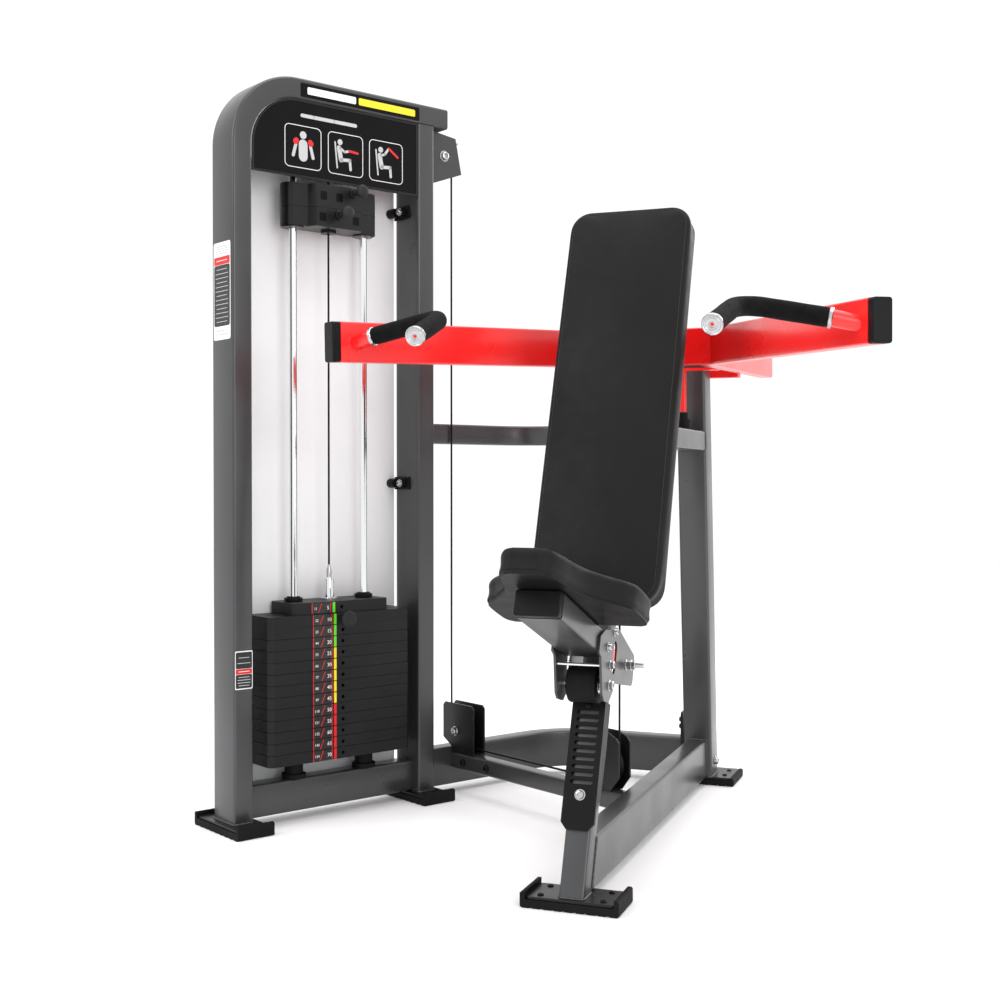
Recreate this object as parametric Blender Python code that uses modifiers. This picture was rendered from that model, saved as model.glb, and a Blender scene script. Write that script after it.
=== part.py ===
"""Shoulder press machine: a press station bolted to a weight-stack tower that is turned 30 degrees to it.

Frame: metres, +Z up, the user looks along -Y, the tower is on the -X side.
The origin is on the floor, under the middle of the front foot.
"""
import math

import bmesh
import bpy
from mathutils import Matrix, Vector

# ---- driving dimensions -------------------------------------------------------------------------
GAP = 0.0003                 # clearance between touching pieces
WELD = 0.0015                # how far a welded piece reaches into its neighbour
WALL = 0.003                 # wall of the steel tubes
SOLE = 0.003                 # depth of the sole grooves
BOOT_TOP = 0.016             # top of the rubber under a foot plate
PLATE_TOP = 0.0217           # top of a foot plate, where the posts stand
LIP_TOP = 0.031              # top of the raised ends of a boot

TOWER_AT = (-0.7793, 0.4811)  # middle of the tower on the floor
TOWER_TURN = math.radians(60)  # from +X to the line through both tower posts
POST_T = 0.260               # tower post centre from the tower middle
POST_W = 0.050
TOWER_TOP = 1.755
BEAM_H = 0.050               # top beam, and the width of its bent corner
CORNER_R = 0.172             # outer radius of the bent corner
BEAM_END = 0.3256            # right end of the top beam
LOW_BEAM = (0.0225, 0.100)    # bottom beam, low and high edge

ROD_T = 0.100
ROD_R = 0.0095
ROD_TOP = 1.665              # the rods end below the cable's top run
PLATE_W = 0.400
PLATE_Y = (-0.062, 0.050)     # front and rear face of a full-width plate
PLATE_PITCH = 0.0269
PLATE_COUNT = 13
STACK_LOW = 0.1430
HEAD_W = 0.270              # top plate of the stack
HEAD_Y = (-0.0566, 0.048)
HEAD_TOP = 0.521
STEM_R = 0.0115
STEM_TOP = 0.575
ROD_HOLE_R = 0.0125
STEM_HOLE_R = 0.0145
PIN_R = 0.0036
PIN_HOLE_R = 0.0048

CABLE_R = 0.0025
CABLE_T = 0.376              # plane of the outer cable runs, from the tower middle
PULLEY_R = 0.040             # cable centre on a pulley
TOP_PULLEY_Z = 1.643
LOW_PULLEY_Z = 0.163
SEAT_PULLEY_Y = -0.623       # tower depth of the riser at the seat

BEAM_W = 0.050
BEAM_Z = (0.022, 0.122)      # base beam, low and high edge
LEAN = math.radians(20)      # front post, backrest and seat lean back
POST_FOOT_Y = -0.0446        # front face of the front post at floor level
UPRIGHT_LEAN = math.radians(5.9)
UPRIGHT_W = 0.075
UPRIGHT_D = 0.078
UPRIGHT_H = 1.168
UPRIGHT_Y0 = 1.0971          # front face of the rear upright at floor level
LINK_Z = (0.887, 0.937)
MID_Z = (0.905, 0.957)

PIVOT = (0.0, 1.019, 1.132)
ARM_DROP = math.radians(2.05)  # the resting arm hangs this far below level
ARM_H = 0.084
ARM_T = 0.040
ARM_SPREAD = math.radians(36.1)
CROSS_HALF = 0.133
CROSS_Y = -0.420             # front face of the arm's cross tube, from the pivot
TAIL_Y = 0.456               # rear end of the arm, from the pivot
CAM_R = 0.5240               # riser cable from the pivot

BACK_HALF = 0.134
BACK_LOW, BACK_HIGH = 0.585, 1.465
SEAT_W = (0.521, 0.574)     # underside and top of the seat pad, along the post

MACHINE = bpy.data.collections.new("shoulder_press_machine")
CUTTERS = bpy.data.collections.new("cutters")


# ---- materials ----------------------------------------------------------------------------------
def material(name, colour, roughness, metallic):
    mat = bpy.data.materials.new(name)
    mat.use_nodes = True
    shader = mat.node_tree.nodes["Principled BSDF"]
    shader.inputs["Base Color"].default_value = (*colour, 1.0)
    shader.inputs["Roughness"].default_value = roughness
    shader.inputs["Metallic"].default_value = metallic
    return mat


def make_materials():
    return {
        "frame": material("frame_grey", (0.130, 0.132, 0.135), 0.42, 0.3),
        "arm": material("arm_red", (0.80, 0.02, 0.012), 0.38, 0.1),
        "black": material("black_steel", (0.012, 0.012, 0.013), 0.40, 0.3),
        "plate": material("plate_iron", (0.045, 0.045, 0.047), 0.50, 0.3),
        "rubber": material("rubber", (0.015, 0.015, 0.015), 0.75, 0.0),
        "foam": material("grip_foam", (0.012, 0.012, 0.012), 0.85, 0.0),
        "plastic": material("black_plastic", (0.020, 0.020, 0.021), 0.45, 0.0),
        "leather": material("leatherette", (0.035, 0.035, 0.036), 0.55, 0.0),
        "chrome": material("chrome", (0.75, 0.76, 0.78), 0.12, 1.0),
        "guard": material("frosted_guard", (0.72, 0.73, 0.74), 0.35, 0.0),
    }


# ---- building blocks ----------------------------------------------------------------------------
def empty(name, at, turn=(0, 0, 0)):
    axis = bpy.data.objects.new(name, None)
    axis.location = at
    axis.rotation_euler = turn
    MACHINE.objects.link(axis)
    return axis


def add(name, bm, mat, parent=None, at=(0, 0, 0), smooth=False):
    """An object of a bmesh. Its origin is at `at` in its parent's frame, and the mesh is moved to suit."""
    bmesh.ops.translate(bm, verts=bm.verts, vec=-Vector(at))
    mesh = bpy.data.meshes.new(name)
    bm.to_mesh(mesh)
    bm.free()
    mesh.materials.append(mat)
    if smooth:
        mesh.shade_smooth()
        mesh.set_sharp_from_angle(angle=math.radians(35))
    obj = bpy.data.objects.new(name, mesh)
    obj.location = at
    obj.parent = parent
    MACHINE.objects.link(obj)
    return obj


def cutter(name, bm, parent):
    mesh = bpy.data.meshes.new(name)
    bm.to_mesh(mesh)
    bm.free()
    obj = bpy.data.objects.new(name, mesh)
    obj.parent = parent
    obj.hide_render = True
    obj.display_type = "WIRE"
    CUTTERS.objects.link(obj)
    return obj


def cut(obj, tool, operation="DIFFERENCE"):
    mod = obj.modifiers.new("cut", "BOOLEAN")
    mod.operation = operation
    mod.solver = "EXACT"
    mod.use_self = False
    mod.object = tool


def box(bm, low, high):
    low, high = Vector(low), Vector(high)
    made = bmesh.ops.create_cube(bm, size=1.0)["verts"]
    for v in made:
        v.co = Vector((low[i] + (v.co[i] + 0.5) * (high[i] - low[i]) for i in range(3)))
    return made


AXES = {
    "x": Matrix.Rotation(math.radians(90), 4, "Y"),
    "y": Matrix.Rotation(math.radians(-90), 4, "X"),
    "z": Matrix.Identity(4),
}


def rod(bm, radius, start, end, axis="z", sides=20, tip=None):
    """A cylinder from start along an axis to the coordinate `end` on that axis."""
    start = Vector(start)
    index = "xyz".index(axis)
    length = end - start[index]
    centre = start.copy()
    centre[index] += length / 2
    made = bmesh.ops.create_cone(
        bm, cap_ends=True, segments=sides, radius1=radius,
        radius2=radius if tip is None else tip, depth=abs(length),
    )["verts"]
    bmesh.ops.transform(bm, verts=made, matrix=Matrix.Translation(centre) @ AXES[axis])
    return made


def prism(bm, outline, low, high, plane="xz"):
    """Extrudes an outline of (u, v) points between two depths across a plane."""
    a, b = ("xyz".index(c) for c in plane)
    c = 3 - a - b
    def point(p, depth):
        co = [0.0, 0.0, 0.0]
        co[a], co[b], co[c] = p[0], p[1], depth
        return bm.verts.new(co)
    bottom = [point(p, low) for p in outline]
    top = [point(p, high) for p in outline]
    bm.faces.new(bottom)
    bm.faces.new(reversed(top))
    count = len(outline)
    for i in range(count):
        j = (i + 1) % count
        bm.faces.new((bottom[i], top[i], top[j], bottom[j]))
    bmesh.ops.recalc_face_normals(bm, faces=bm.faces)


def arc(centre, radius, start, end, steps):
    """Points on a circle, from one angle to another, in degrees."""
    angles = [math.radians(start + (end - start) * i / steps) for i in range(steps + 1)]
    return [(centre[0] + radius * math.cos(a), centre[1] + radius * math.sin(a)) for a in angles]


def rounded(half_u, half_v, radius, steps=4, centre=(0.0, 0.0)):
    points = []
    for su, sv, start in ((1, 1, 0), (-1, 1, 90), (-1, -1, 180), (1, -1, 270)):
        corner = (centre[0] + su * (half_u - radius), centre[1] + sv * (half_v - radius))
        points += arc(corner, radius, start, start + 90, steps)
    return points


def turned(name, bm, mat, parent, at, axis="z", steps=24):
    obj = add(name, bm, mat, parent)
    obj.location = at
    obj.rotation_euler = AXES[axis].to_euler()
    screw = obj.modifiers.new("turn", "SCREW")
    screw.axis = "Z"
    screw.steps = steps
    screw.render_steps = steps
    screw.use_merge_vertices = True
    screw.merge_threshold = 0.00002
    screw.use_normal_calculate = True
    screw.use_normal_flip = True
    screw.use_smooth_shade = True
    return obj


def join(obj, name, bm, parent):
    """Welds another solid, which must reach into it, to an object."""
    cut(obj, cutter(name, bm, parent), "UNION")


def hollow(obj, wall=WALL):
    shell = obj.modifiers.new("wall", "SOLIDIFY")
    shell.thickness = wall
    shell.offset = -1
    shell.use_even_offset = True


def rect_tube(name, low, high, along, mat, parent=None, start=None, end=None):
    """A hollow rectangular tube. start and end move its end faces: functions of a corner's own position."""
    bm = bmesh.new()
    made = box(bm, low, high)
    k = "xyz".index(along)
    middle = (low[k] + high[k]) / 2
    for v in made:
        edge = start if v.co[k] < middle else end
        if edge:
            v.co[k] = edge(v.co)
    obj = add(name, bm, mat, parent)
    inside = bmesh.new()
    reach = high[k] - low[k]
    near = [c + (WALL if i != k else -reach) for i, c in enumerate(low)]
    far = [c - (WALL if i != k else -reach) for i, c in enumerate(high)]
    box(inside, near, far)
    cut(obj, cutter(name + "_bore", inside, parent))
    return obj


def bent_tube(name, path, width, low, high, mat, parent=None, plane="xy"):
    """A hollow rectangular tube along a flat path; low and high are its edges across the path's plane."""
    a, b = ("xyz".index(c) for c in plane)
    c = 3 - a - b
    bm = bmesh.new()
    loops = []
    for i, p in enumerate(path):
        p = Vector(p)
        back = Vector(path[max(i - 1, 0)])
        ahead = Vector(path[min(i + 1, len(path) - 1)])
        run_in = (p - back).normalized() if i else (ahead - p).normalized()
        run_out = (ahead - p).normalized() if i < len(path) - 1 else run_in
        mean = (run_in + run_out).normalized()
        side = Vector((-mean.y, mean.x)) * (width / 2 / max(mean.dot(run_in), 0.5))
        loop = []
        for s, h in ((1, low), (1, high), (-1, high), (-1, low)):
            co = [0.0, 0.0, 0.0]
            co[a], co[b], co[c] = p.x + s * side.x, p.y + s * side.y, h
            loop.append(bm.verts.new(co))
        loops.append(loop)
    for one, two in zip(loops, loops[1:]):
        for i in range(4):
            j = (i + 1) % 4
            bm.faces.new((one[i], one[j], two[j], two[i]))
    bmesh.ops.recalc_face_normals(bm, faces=bm.faces)
    bm.faces.ensure_lookup_table()
    wall = bm.faces[0]
    inside = (loops[0][0].co + loops[0][2].co + loops[1][0].co + loops[1][2].co) / 4
    if (wall.calc_center_median() - inside).dot(wall.normal) < 0:
        bmesh.ops.reverse_faces(bm, faces=bm.faces)
    obj = add(name, bm, mat, parent)
    hollow(obj)
    return obj


def fillet(before, corner, after, radius, steps=6):
    """The corner of a flat path rounded by an arc."""
    before, corner, after = Vector(before), Vector(corner), Vector(after)
    u = (before - corner).normalized()
    w = (after - corner).normalized()
    half = u.angle(w) / 2
    reach = radius / math.tan(half)
    centre = corner + (u + w).normalized() * (radius / math.sin(half))
    start = corner + u * reach
    turn = (start - centre).angle_signed(corner + w * reach - centre)
    points = []
    for i in range(steps + 1):
        a = -turn * i / steps
        d = start - centre
        points.append(centre + Matrix.Rotation(a, 2) @ d)
    return points


def sweep(bm, points, radius, sides=8):
    """A round bar along a path, closed at both ends."""
    points = [Vector(p) for p in points]
    side = None
    loops = []
    for i, p in enumerate(points):
        run_in = (p - points[i - 1]).normalized() if i else (points[1] - p).normalized()
        run_out = (points[i + 1] - p).normalized() if i < len(points) - 1 else run_in
        along = (run_in + run_out).normalized()
        if side is None:
            side = along.orthogonal().normalized()
        side = (side - along * side.dot(along)).normalized()
        other = along.cross(side)
        spread = radius / math.sqrt(max(0.5, (1 + run_in.dot(run_out)) / 2))
        turns = [2 * math.pi * k / sides for k in range(sides)]
        loops.append([bm.verts.new(p + (side * math.cos(a) + other * math.sin(a)) * spread) for a in turns])
    for one, two in zip(loops, loops[1:]):
        for k in range(sides):
            j = (k + 1) % sides
            bm.faces.new((one[k], one[j], two[j], two[k]))
    bm.faces.new(loops[0])
    bm.faces.new(loops[-1])
    bmesh.ops.recalc_face_normals(bm, faces=bm.faces)


# ---- floor and frame ----------------------------------------------------------------------------
def boot_profile(half, ridges, lip, rise):
    """Side of a rubber boot: a ridged sole, and a raised lip at each end that holds the foot plate."""
    pitch = 2 * half / ridges
    flat = pitch * 0.3
    points = []
    for i in range(ridges):
        centre = -half + pitch * (i + 0.5)
        points += [(centre - flat, 0.0), (centre + flat, 0.0)]
        if i < ridges - 1:
            points += [(centre + pitch / 2 - pitch * 0.1, SOLE), (centre + pitch / 2 + pitch * 0.1, SOLE)]
    points += [(half, SOLE), (half, rise - 0.003), (half - 0.003, rise), (half - lip, rise)]
    points += [(half - lip, BOOT_TOP), (-half + lip, BOOT_TOP), (-half + lip, rise)]
    points += [(-half + 0.003, rise), (-half, rise - 0.003), (-half, SOLE)]
    return points


BOOT_LIP = 0.010
FRONT_FOOT = ((0.0, 0.0), 0.0974, 0.0505, 0.0)      # middle, half length, half width and turn
REAR_FOOT = ((0.0, 1.1635), 0.0950, 0.0685, 0.0)
TOWER_FOOT = (0.1045, 0.047)                        # half length and half width


def foot_place(middle, turn):
    return Matrix.Translation((*middle, 0)) @ Matrix.Rotation(turn, 4, "Z")


def boot(name, mat, foot, parent=None, rise=LIP_TOP):
    middle, half, wide, turn = foot
    bm = bmesh.new()
    prism(bm, boot_profile(half, 9, BOOT_LIP, rise), -wide, wide, "xz")
    bm.transform(foot_place(middle, turn))
    add(name, bm, mat, parent)


def weld_plate(post, foot, parent=None):
    """The steel plate under a post, held between the lips of its boot."""
    middle, half, wide, turn = foot
    reach = half - BOOT_LIP - GAP
    bm = bmesh.new()
    box(bm, (-reach, -wide + 0.004, BOOT_TOP + GAP), (reach, wide - 0.004, PLATE_TOP))
    bm.transform(foot_place(middle, turn))
    join(post, post.name + "_foot", bm, parent)


def tower_foot(side):
    return ((side * POST_T, 0.0), *TOWER_FOOT, math.radians(90))


def make_boots(m, tower):
    boot("front_boot", m["rubber"], FRONT_FOOT)
    boot("rear_boot", m["rubber"], REAR_FOOT, rise=PLATE_TOP)
    boot("tower_boot_left", m["rubber"], tower_foot(-1), tower)
    boot("tower_boot_right", m["rubber"], tower_foot(1), tower)


def make_station(m):
    """Base beam, front post, rear upright and the link between them."""
    rise = math.tan(LEAN)
    fall = math.tan(UPRIGHT_LEAN)
    half = BEAM_W / 2
    back = POST_FOOT_Y + BEAM_W / math.cos(LEAN)

    rect_tube(
        "base_beam", (-half, 0, BEAM_Z[0]), (half, 1, BEAM_Z[1]), "y", m["frame"],
        start=lambda co: back + rise * co.z + GAP, end=lambda co: UPRIGHT_Y0 - fall * co.z - GAP,
    )
    rect_tube(
        "link_tube", (-UPRIGHT_W / 2, 0, LINK_Z[0]), (UPRIGHT_W / 2, 1, LINK_Z[1]), "y", m["frame"],
        start=lambda co: back + rise * co.z + GAP, end=lambda co: UPRIGHT_Y0 - fall * co.z - GAP,
    )
    post = empty("front_post_axis", (0, POST_FOOT_Y, 0), (-LEAN, 0, 0))
    stand = PLATE_TOP - WELD
    column = rect_tube(
        "front_post", (-half, 0, 0), (half, BEAM_W, 1.22), "z", m["frame"], post,
        start=lambda co: (stand + co.y * math.sin(LEAN)) / math.cos(LEAN),
    )
    weld_plate(column, FRONT_FOOT)
    upright = empty("rear_upright_axis", (0, UPRIGHT_Y0, 0), (UPRIGHT_LEAN, 0, 0))
    body = rect_tube(
        "rear_upright", (-UPRIGHT_W / 2, 0, 0), (UPRIGHT_W / 2, UPRIGHT_D, UPRIGHT_H), "z",
        m["frame"], upright,
        start=lambda co: (stand - co.y * math.sin(UPRIGHT_LEAN)) / math.cos(UPRIGHT_LEAN),
    )
    weld_plate(body, REAR_FOOT)
    bore = bmesh.new()
    rod(bore, PIVOT_R + 0.001, (-0.06, PIVOT[1], PIVOT[2]), 0.06, "x", 20)
    cut(body, cutter("pivot_bore", bore, None))
    return post


PIVOT_R = 0.0125


def side_path(offset, corner_y, radius, end_x):
    """Runs along the tower's own line, bends by 60 degrees and ends beside the rear upright."""
    along = Vector((math.cos(TOWER_TURN), math.sin(TOWER_TURN)))
    depth = Vector((-along.y, along.x))
    start = Vector(TOWER_AT) + along * (POST_T + POST_W / 2 + GAP) + depth * offset
    corner = start + along * ((corner_y - start.y) / along.y)
    end = Vector((end_x, corner_y))
    return [start, *fillet(start, corner, end, radius), end]


def make_side_tubes(m):
    beside = -UPRIGHT_W / 2 - GAP
    bent_tube("base_side_tube", side_path(0.0, 1.133, 0.195, beside), BEAM_W, 0.0225, 0.120, m["frame"])
    bent_tube("mid_side_tube", side_path(MID_OFFSET, 1.040, 0.160, beside), 0.046, *MID_Z, m["frame"])


MID_OFFSET = 0.029           # the middle side tube sits behind the cable that hangs beside the tower


# ---- tower --------------------------------------------------------------------------------------
def make_tower(m, tower):
    front, rear = -0.048, 0.052
    stand = PLATE_TOP - WELD
    inner = POST_T - POST_W / 2
    middle = TOWER_TOP - BEAM_H / 2
    bend = CORNER_R - POST_W / 2
    corner = fillet((-POST_T, 0), (-POST_T, middle), (0, middle), bend, 8)
    path = [Vector((-POST_T, stand)), *corner, Vector((BEAM_END, middle))]
    hoop = bent_tube("tower_hoop", path, POST_W, front, rear, m["frame"], tower, "xz")
    weld_plate(hoop, tower_foot(-1), tower)
    hang_pulley(hoop, tower)

    post = rect_tube(
        "tower_right_post", (inner, front, stand), (inner + POST_W, rear, TOWER_TOP - BEAM_H - GAP), "z",
        m["frame"], tower,
    )
    weld_plate(post, tower_foot(1), tower)
    slot = bmesh.new()
    run = TOP_PULLEY_Z + PULLEY_R
    box(slot, (inner - 0.02, -0.008, run - 0.011), (inner + POST_W + 0.02, 0.008, run + 0.011))
    cut(post, cutter("cable_slot", slot, tower))
    rect_tube(
        "tower_low_beam", (-inner + GAP, -0.020, LOW_BEAM[0]), (inner - GAP, 0.030, LOW_BEAM[1]), "x",
        m["frame"], tower,
    )
    make_header(m, tower, inner)
    make_guard(m, tower, inner)


def hang_pulley(hoop, tower):
    """Two lugs and an axle under the top beam, for the pulley behind the header."""
    centre = PULLEYS[0][1]
    top = TOWER_TOP - BEAM_H + WELD
    lug = [(centre[0] - 0.026, top), (centre[0] + 0.026, top), (centre[0] + 0.016, centre[2] - 0.018),
           (centre[0] - 0.016, centre[2] - 0.018)]
    for name, y in (("front_lug", -0.022), ("rear_lug", 0.018)):
        bm = bmesh.new()
        prism(bm, lug, y, y + 0.004, "xz")
        join(hoop, name, bm, tower)
    axle = bmesh.new()
    rod(axle, AXLE_R, (centre[0], -0.020, centre[2]), 0.020, "y", 12)
    join(hoop, "header_axle", axle, tower)
    for name, side in (("left_rod_lug", -1), ("right_rod_lug", 1)):
        bm = bmesh.new()
        box(bm, (side * ROD_T - 0.010, ROD_R + GAP, ROD_TOP - 0.040), (side * ROD_T + 0.010, 0.0160, top))
        join(hoop, name, bm, tower)


def make_header(m, tower, inner):
    """The front panel fills the bent corner of the tower."""
    wide, top, low = inner - 0.001, TOWER_TOP - BEAM_H - 0.001, 1.5215
    bend = CORNER_R - POST_W - 0.001
    outline = [(wide, low), (wide, top)]
    outline += arc((-wide + bend, top - bend), bend, 90, 180, 8)
    outline += [(-wide, low)]
    bm = bmesh.new()
    prism(bm, outline, -0.0460, -0.0430, "xz")
    add("header_panel", bm, m["plastic"], tower)


def make_guard(m, tower, inner):
    sheet = bmesh.new()
    box(sheet, (-inner + 0.005, 0.0523, 0.036), (inner - 0.005, 0.0553, 1.575))
    add("rear_guard", sheet, m["guard"], tower)


def stack_plan(half_w, y_low, y_high, notch=0.012):
    """Plan of a weight plate with cut corners."""
    return [
        (-half_w + notch, y_low), (half_w - notch, y_low), (half_w, y_low + notch), (half_w, y_high - notch),
        (half_w - notch, y_high), (-half_w + notch, y_high), (-half_w, y_high - notch), (-half_w, y_low + notch),
    ]


def plate_level(index):
    """Underside of a full-width plate; 0 is the highest."""
    return STACK_LOW + (PLATE_COUNT - 1 - index) * PLATE_PITCH


def stack_holes(name, tower, low, high, rows):
    """Cutters for the guide rods, the selector stem and the pin."""
    bm = bmesh.new()
    for side in (-1, 1):
        rod(bm, ROD_HOLE_R, (side * ROD_T, 0, low), high, "z", 8)
    rod(bm, STEM_HOLE_R, (0, 0, low), high, "z", 8)
    upright = cutter(name + "_bores", bm, tower)
    pins = bmesh.new()
    for level in rows:
        rod(pins, PIN_HOLE_R, (0, -0.08, level), -STEM_HOLE_R * 0.5, "y", 6)
    return upright, cutter(name + "_pins", pins, tower)


def make_stack(m, tower):
    thick = PLATE_PITCH - GAP
    first = bmesh.new()
    prism(first, stack_plan(PLATE_W / 2, *PLATE_Y), plate_level(0), plate_level(0) + thick, "xy")
    plate = add("weight_plate_01", first, m["plate"], tower, (0, 0, plate_level(0)))
    first = plate_level(0)
    for tool in stack_holes("first", tower, first - 0.01, first + 0.04, [first + thick / 2]):
        cut(plate, tool)

    rest = add("weight_plates_rest", resting_plates(), m["plate"], tower)
    rows = [plate_level(i) + thick / 2 for i in range(1, PLATE_COUNT)]
    for tool in stack_holes("rest", tower, STACK_LOW - 0.01, plate_level(0) + 0.01, rows):
        cut(rest, tool)

    head = bmesh.new()
    base = plate_level(0) + PLATE_PITCH
    prism(head, stack_plan(HEAD_W / 2, *HEAD_Y, 0.006), base, HEAD_TOP, "xy")
    top = add("stack_top_plate", head, m["plate"], tower, (0, 0, base))
    for tool in stack_holes("top", tower, base - 0.01, HEAD_TOP + 0.01, [base + 0.014]):
        cut(top, tool)

    stem = bmesh.new()
    foot = STACK_LOW + 0.006
    shape = [(0, foot), (STEM_R, foot), (STEM_R, STEM_TOP - 0.008), (STEM_R * 0.6, STEM_TOP), (0, STEM_TOP)]
    turned_bar(stem, shape, 16)
    spine = add("selector_stem", stem, m["chrome"], tower, (0, 0, STEM_TOP), smooth=True)
    pins = bmesh.new()
    for i in range(PLATE_COUNT):
        rod(pins, PIN_HOLE_R, (0, -0.03, plate_level(i) + thick / 2), 0.03, "y", 6)
    cut(spine, cutter("stem_pins", pins, tower))


def resting_plates():
    """The twelve plates that stay down when the pin is in the first one: a block with seams."""
    seam, inset = 0.0012, 0.0025
    levels = []
    for i in reversed(range(1, PLATE_COUNT)):
        low = plate_level(i)
        levels += [(low + seam, 0.0), (low + PLATE_PITCH, 0.0)]
        if i > 1:
            levels += [(low + PLATE_PITCH, inset), (low + PLATE_PITCH + seam, inset)]
    levels[0] = (STACK_LOW, 0.0)
    levels[-1] = (plate_level(0) - GAP, 0.0)
    bm = bmesh.new()
    loops = []
    for level, back in levels:
        plan = stack_plan(PLATE_W / 2 - back, PLATE_Y[0] + back, PLATE_Y[1] - back)
        loops.append([bm.verts.new((x, y, level)) for x, y in plan])
    bm.faces.new(loops[0])
    bm.faces.new(loops[-1])
    for one, two in zip(loops, loops[1:]):
        for i in range(len(one)):
            j = (i + 1) % len(one)
            bm.faces.new((one[i], one[j], two[j], two[i]))
    bmesh.ops.recalc_face_normals(bm, faces=bm.faces)
    return bm


def make_pin(m, tower):
    """Selector pin in the first full plate: a mushroom knob and a shaft in one turned piece."""
    bm = bmesh.new()
    level = plate_level(0) + (PLATE_PITCH - GAP) / 2
    profile = [(0, 0.0), (0.016, 0.0), (0.020, 0.003), (0.020, 0.007), (0.009, 0.012), (0.009, 0.025),
               (PIN_R, 0.026), (PIN_R, 0.102), (0.002, 0.105), (0, 0.105)]
    turned_bar(bm, profile)
    obj = add("selector_pin", bm, m["plastic"], tower, smooth=True)
    obj.location = (0, -0.0950, level)
    obj.rotation_euler = AXES["y"].to_euler()


def turned_bar(bm, profile, sides=14):
    """A turned solid about Z; the profile runs up the axis with both ends on it."""
    low = bm.verts.new((0, 0, profile[0][1]))
    high = bm.verts.new((0, 0, profile[-1][1]))
    loops = []
    for radius, level in profile[1:-1]:
        turns = [2 * math.pi * i / sides for i in range(sides)]
        loops.append([bm.verts.new((radius * math.cos(a), radius * math.sin(a), level)) for a in turns])
    for i in range(sides):
        j = (i + 1) % sides
        bm.faces.new((low, loops[0][j], loops[0][i]))
        bm.faces.new((high, loops[-1][i], loops[-1][j]))
        for one, two in zip(loops, loops[1:]):
            bm.faces.new((one[i], one[j], two[j], two[i]))
    bmesh.ops.recalc_face_normals(bm, faces=bm.faces)


def make_rods(m, tower):
    floor, bore = LOW_BEAM[1] + GAP, ROD_R + GAP
    profile = [(0.022, STACK_LOW - GAP), (0.022, floor + 0.010), (0.029, floor + 0.010), (0.029, floor),
               (bore, floor), (bore, STACK_LOW - GAP)]
    for name, side in (("left", -1), ("right", 1)):
        bar = bmesh.new()
        rod(bar, ROD_R, (side * ROD_T, 0, floor), ROD_TOP, "z", 16)
        add("guide_rod_" + name, bar, m["chrome"], tower, smooth=True)
        bm = bmesh.new()
        closed_profile(bm, profile)
        turned("stack_bumper_" + name, bm, m["rubber"], tower, (side * ROD_T, 0, 0))


def closed_profile(bm, profile):
    verts = [bm.verts.new((r, 0, h)) for r, h in profile]
    for i in range(len(verts)):
        bm.edges.new((verts[i - 1], verts[i]))


ADDON = (
    # name, low and high edge, t and z of its knob
    ("addon_weight_low", 1.4140, 1.4595, -0.001, 1.446),
    ("addon_weight_high", 1.4602, 1.5145, 0.040, 1.502),
)


def make_addons(m, tower):
    """Two small weights parked on the rods; each is held by a pull knob."""
    centre_half, centre_front, lug = 0.062, -0.050, 0.030
    plan = [(-centre_half, centre_front), (centre_half, centre_front), (centre_half + 0.012, -0.028)]
    plan += arc((ROD_T, 0), lug, -60, 60, 6)
    plan += [(centre_half, 0.028), (-centre_half, 0.028)]
    plan += arc((-ROD_T, 0), lug, 120, 240, 6)
    plan += [(-centre_half - 0.012, -0.028)]
    for name, low, high, knob_t, knob_z in ADDON:
        bm = bmesh.new()
        prism(bm, plan, low, high, "xy")
        block = add(name, bm, m["black"], tower, (0, 0, low))
        bores = bmesh.new()
        for side in (-1, 1):
            rod(bores, ROD_R + 0.0018, (side * ROD_T, 0, low - 0.01), high + 0.01, "z", 12)
        rod(bores, 0.010, (0, 0, low - 0.01), high + 0.01, "z", 12)
        cut(block, cutter(name + "_bores", bores, tower))
        knob = bmesh.new()
        shape = [(0, 0), (0.012, 0), (0.016, 0.004), (0.016, 0.012), (0.007, 0.016), (0.007, 0.0465),
                 (0, 0.0465)]
        turned_bar(knob, shape)
        obj = add(name.replace("weight", "knob"), knob, m["plastic"], tower, smooth=True)
        obj.location = (knob_t, centre_front - 0.0465 - GAP, knob_z)
        obj.rotation_euler = AXES["y"].to_euler()


# ---- cable --------------------------------------------------------------------------------------
PULLEYS = (
    # name, centre in the tower's frame, axis
    ("pulley_header", (PULLEY_R, 0, TOP_PULLEY_Z), "y"),
    ("pulley_top", (CABLE_T - PULLEY_R, 0, TOP_PULLEY_Z), "y"),
    ("pulley_low_tower", (CABLE_T, -0.041, LOW_PULLEY_Z), "x"),
    ("pulley_low_seat", (CABLE_T, SEAT_PULLEY_Y + PULLEY_R, LOW_PULLEY_Z), "x"),
)
AXLE_R = 0.005
PULLEY_W = 0.022


def make_pulleys(m, tower):
    rim, floor, half = PULLEY_R + 0.0045, PULLEY_R - CABLE_R - GAP, PULLEY_W / 2
    bore = AXLE_R + GAP
    profile = [(rim, half), (rim, half - 0.002), (floor, 0.0032), (floor, -0.0032), (rim, -half + 0.002),
               (rim, -half), (bore, -half), (bore, half)]
    for name, centre, axis in PULLEYS:
        bm = bmesh.new()
        closed_profile(bm, profile)
        turned(name, bm, m["plastic"], tower, centre, axis, 20)


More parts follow.
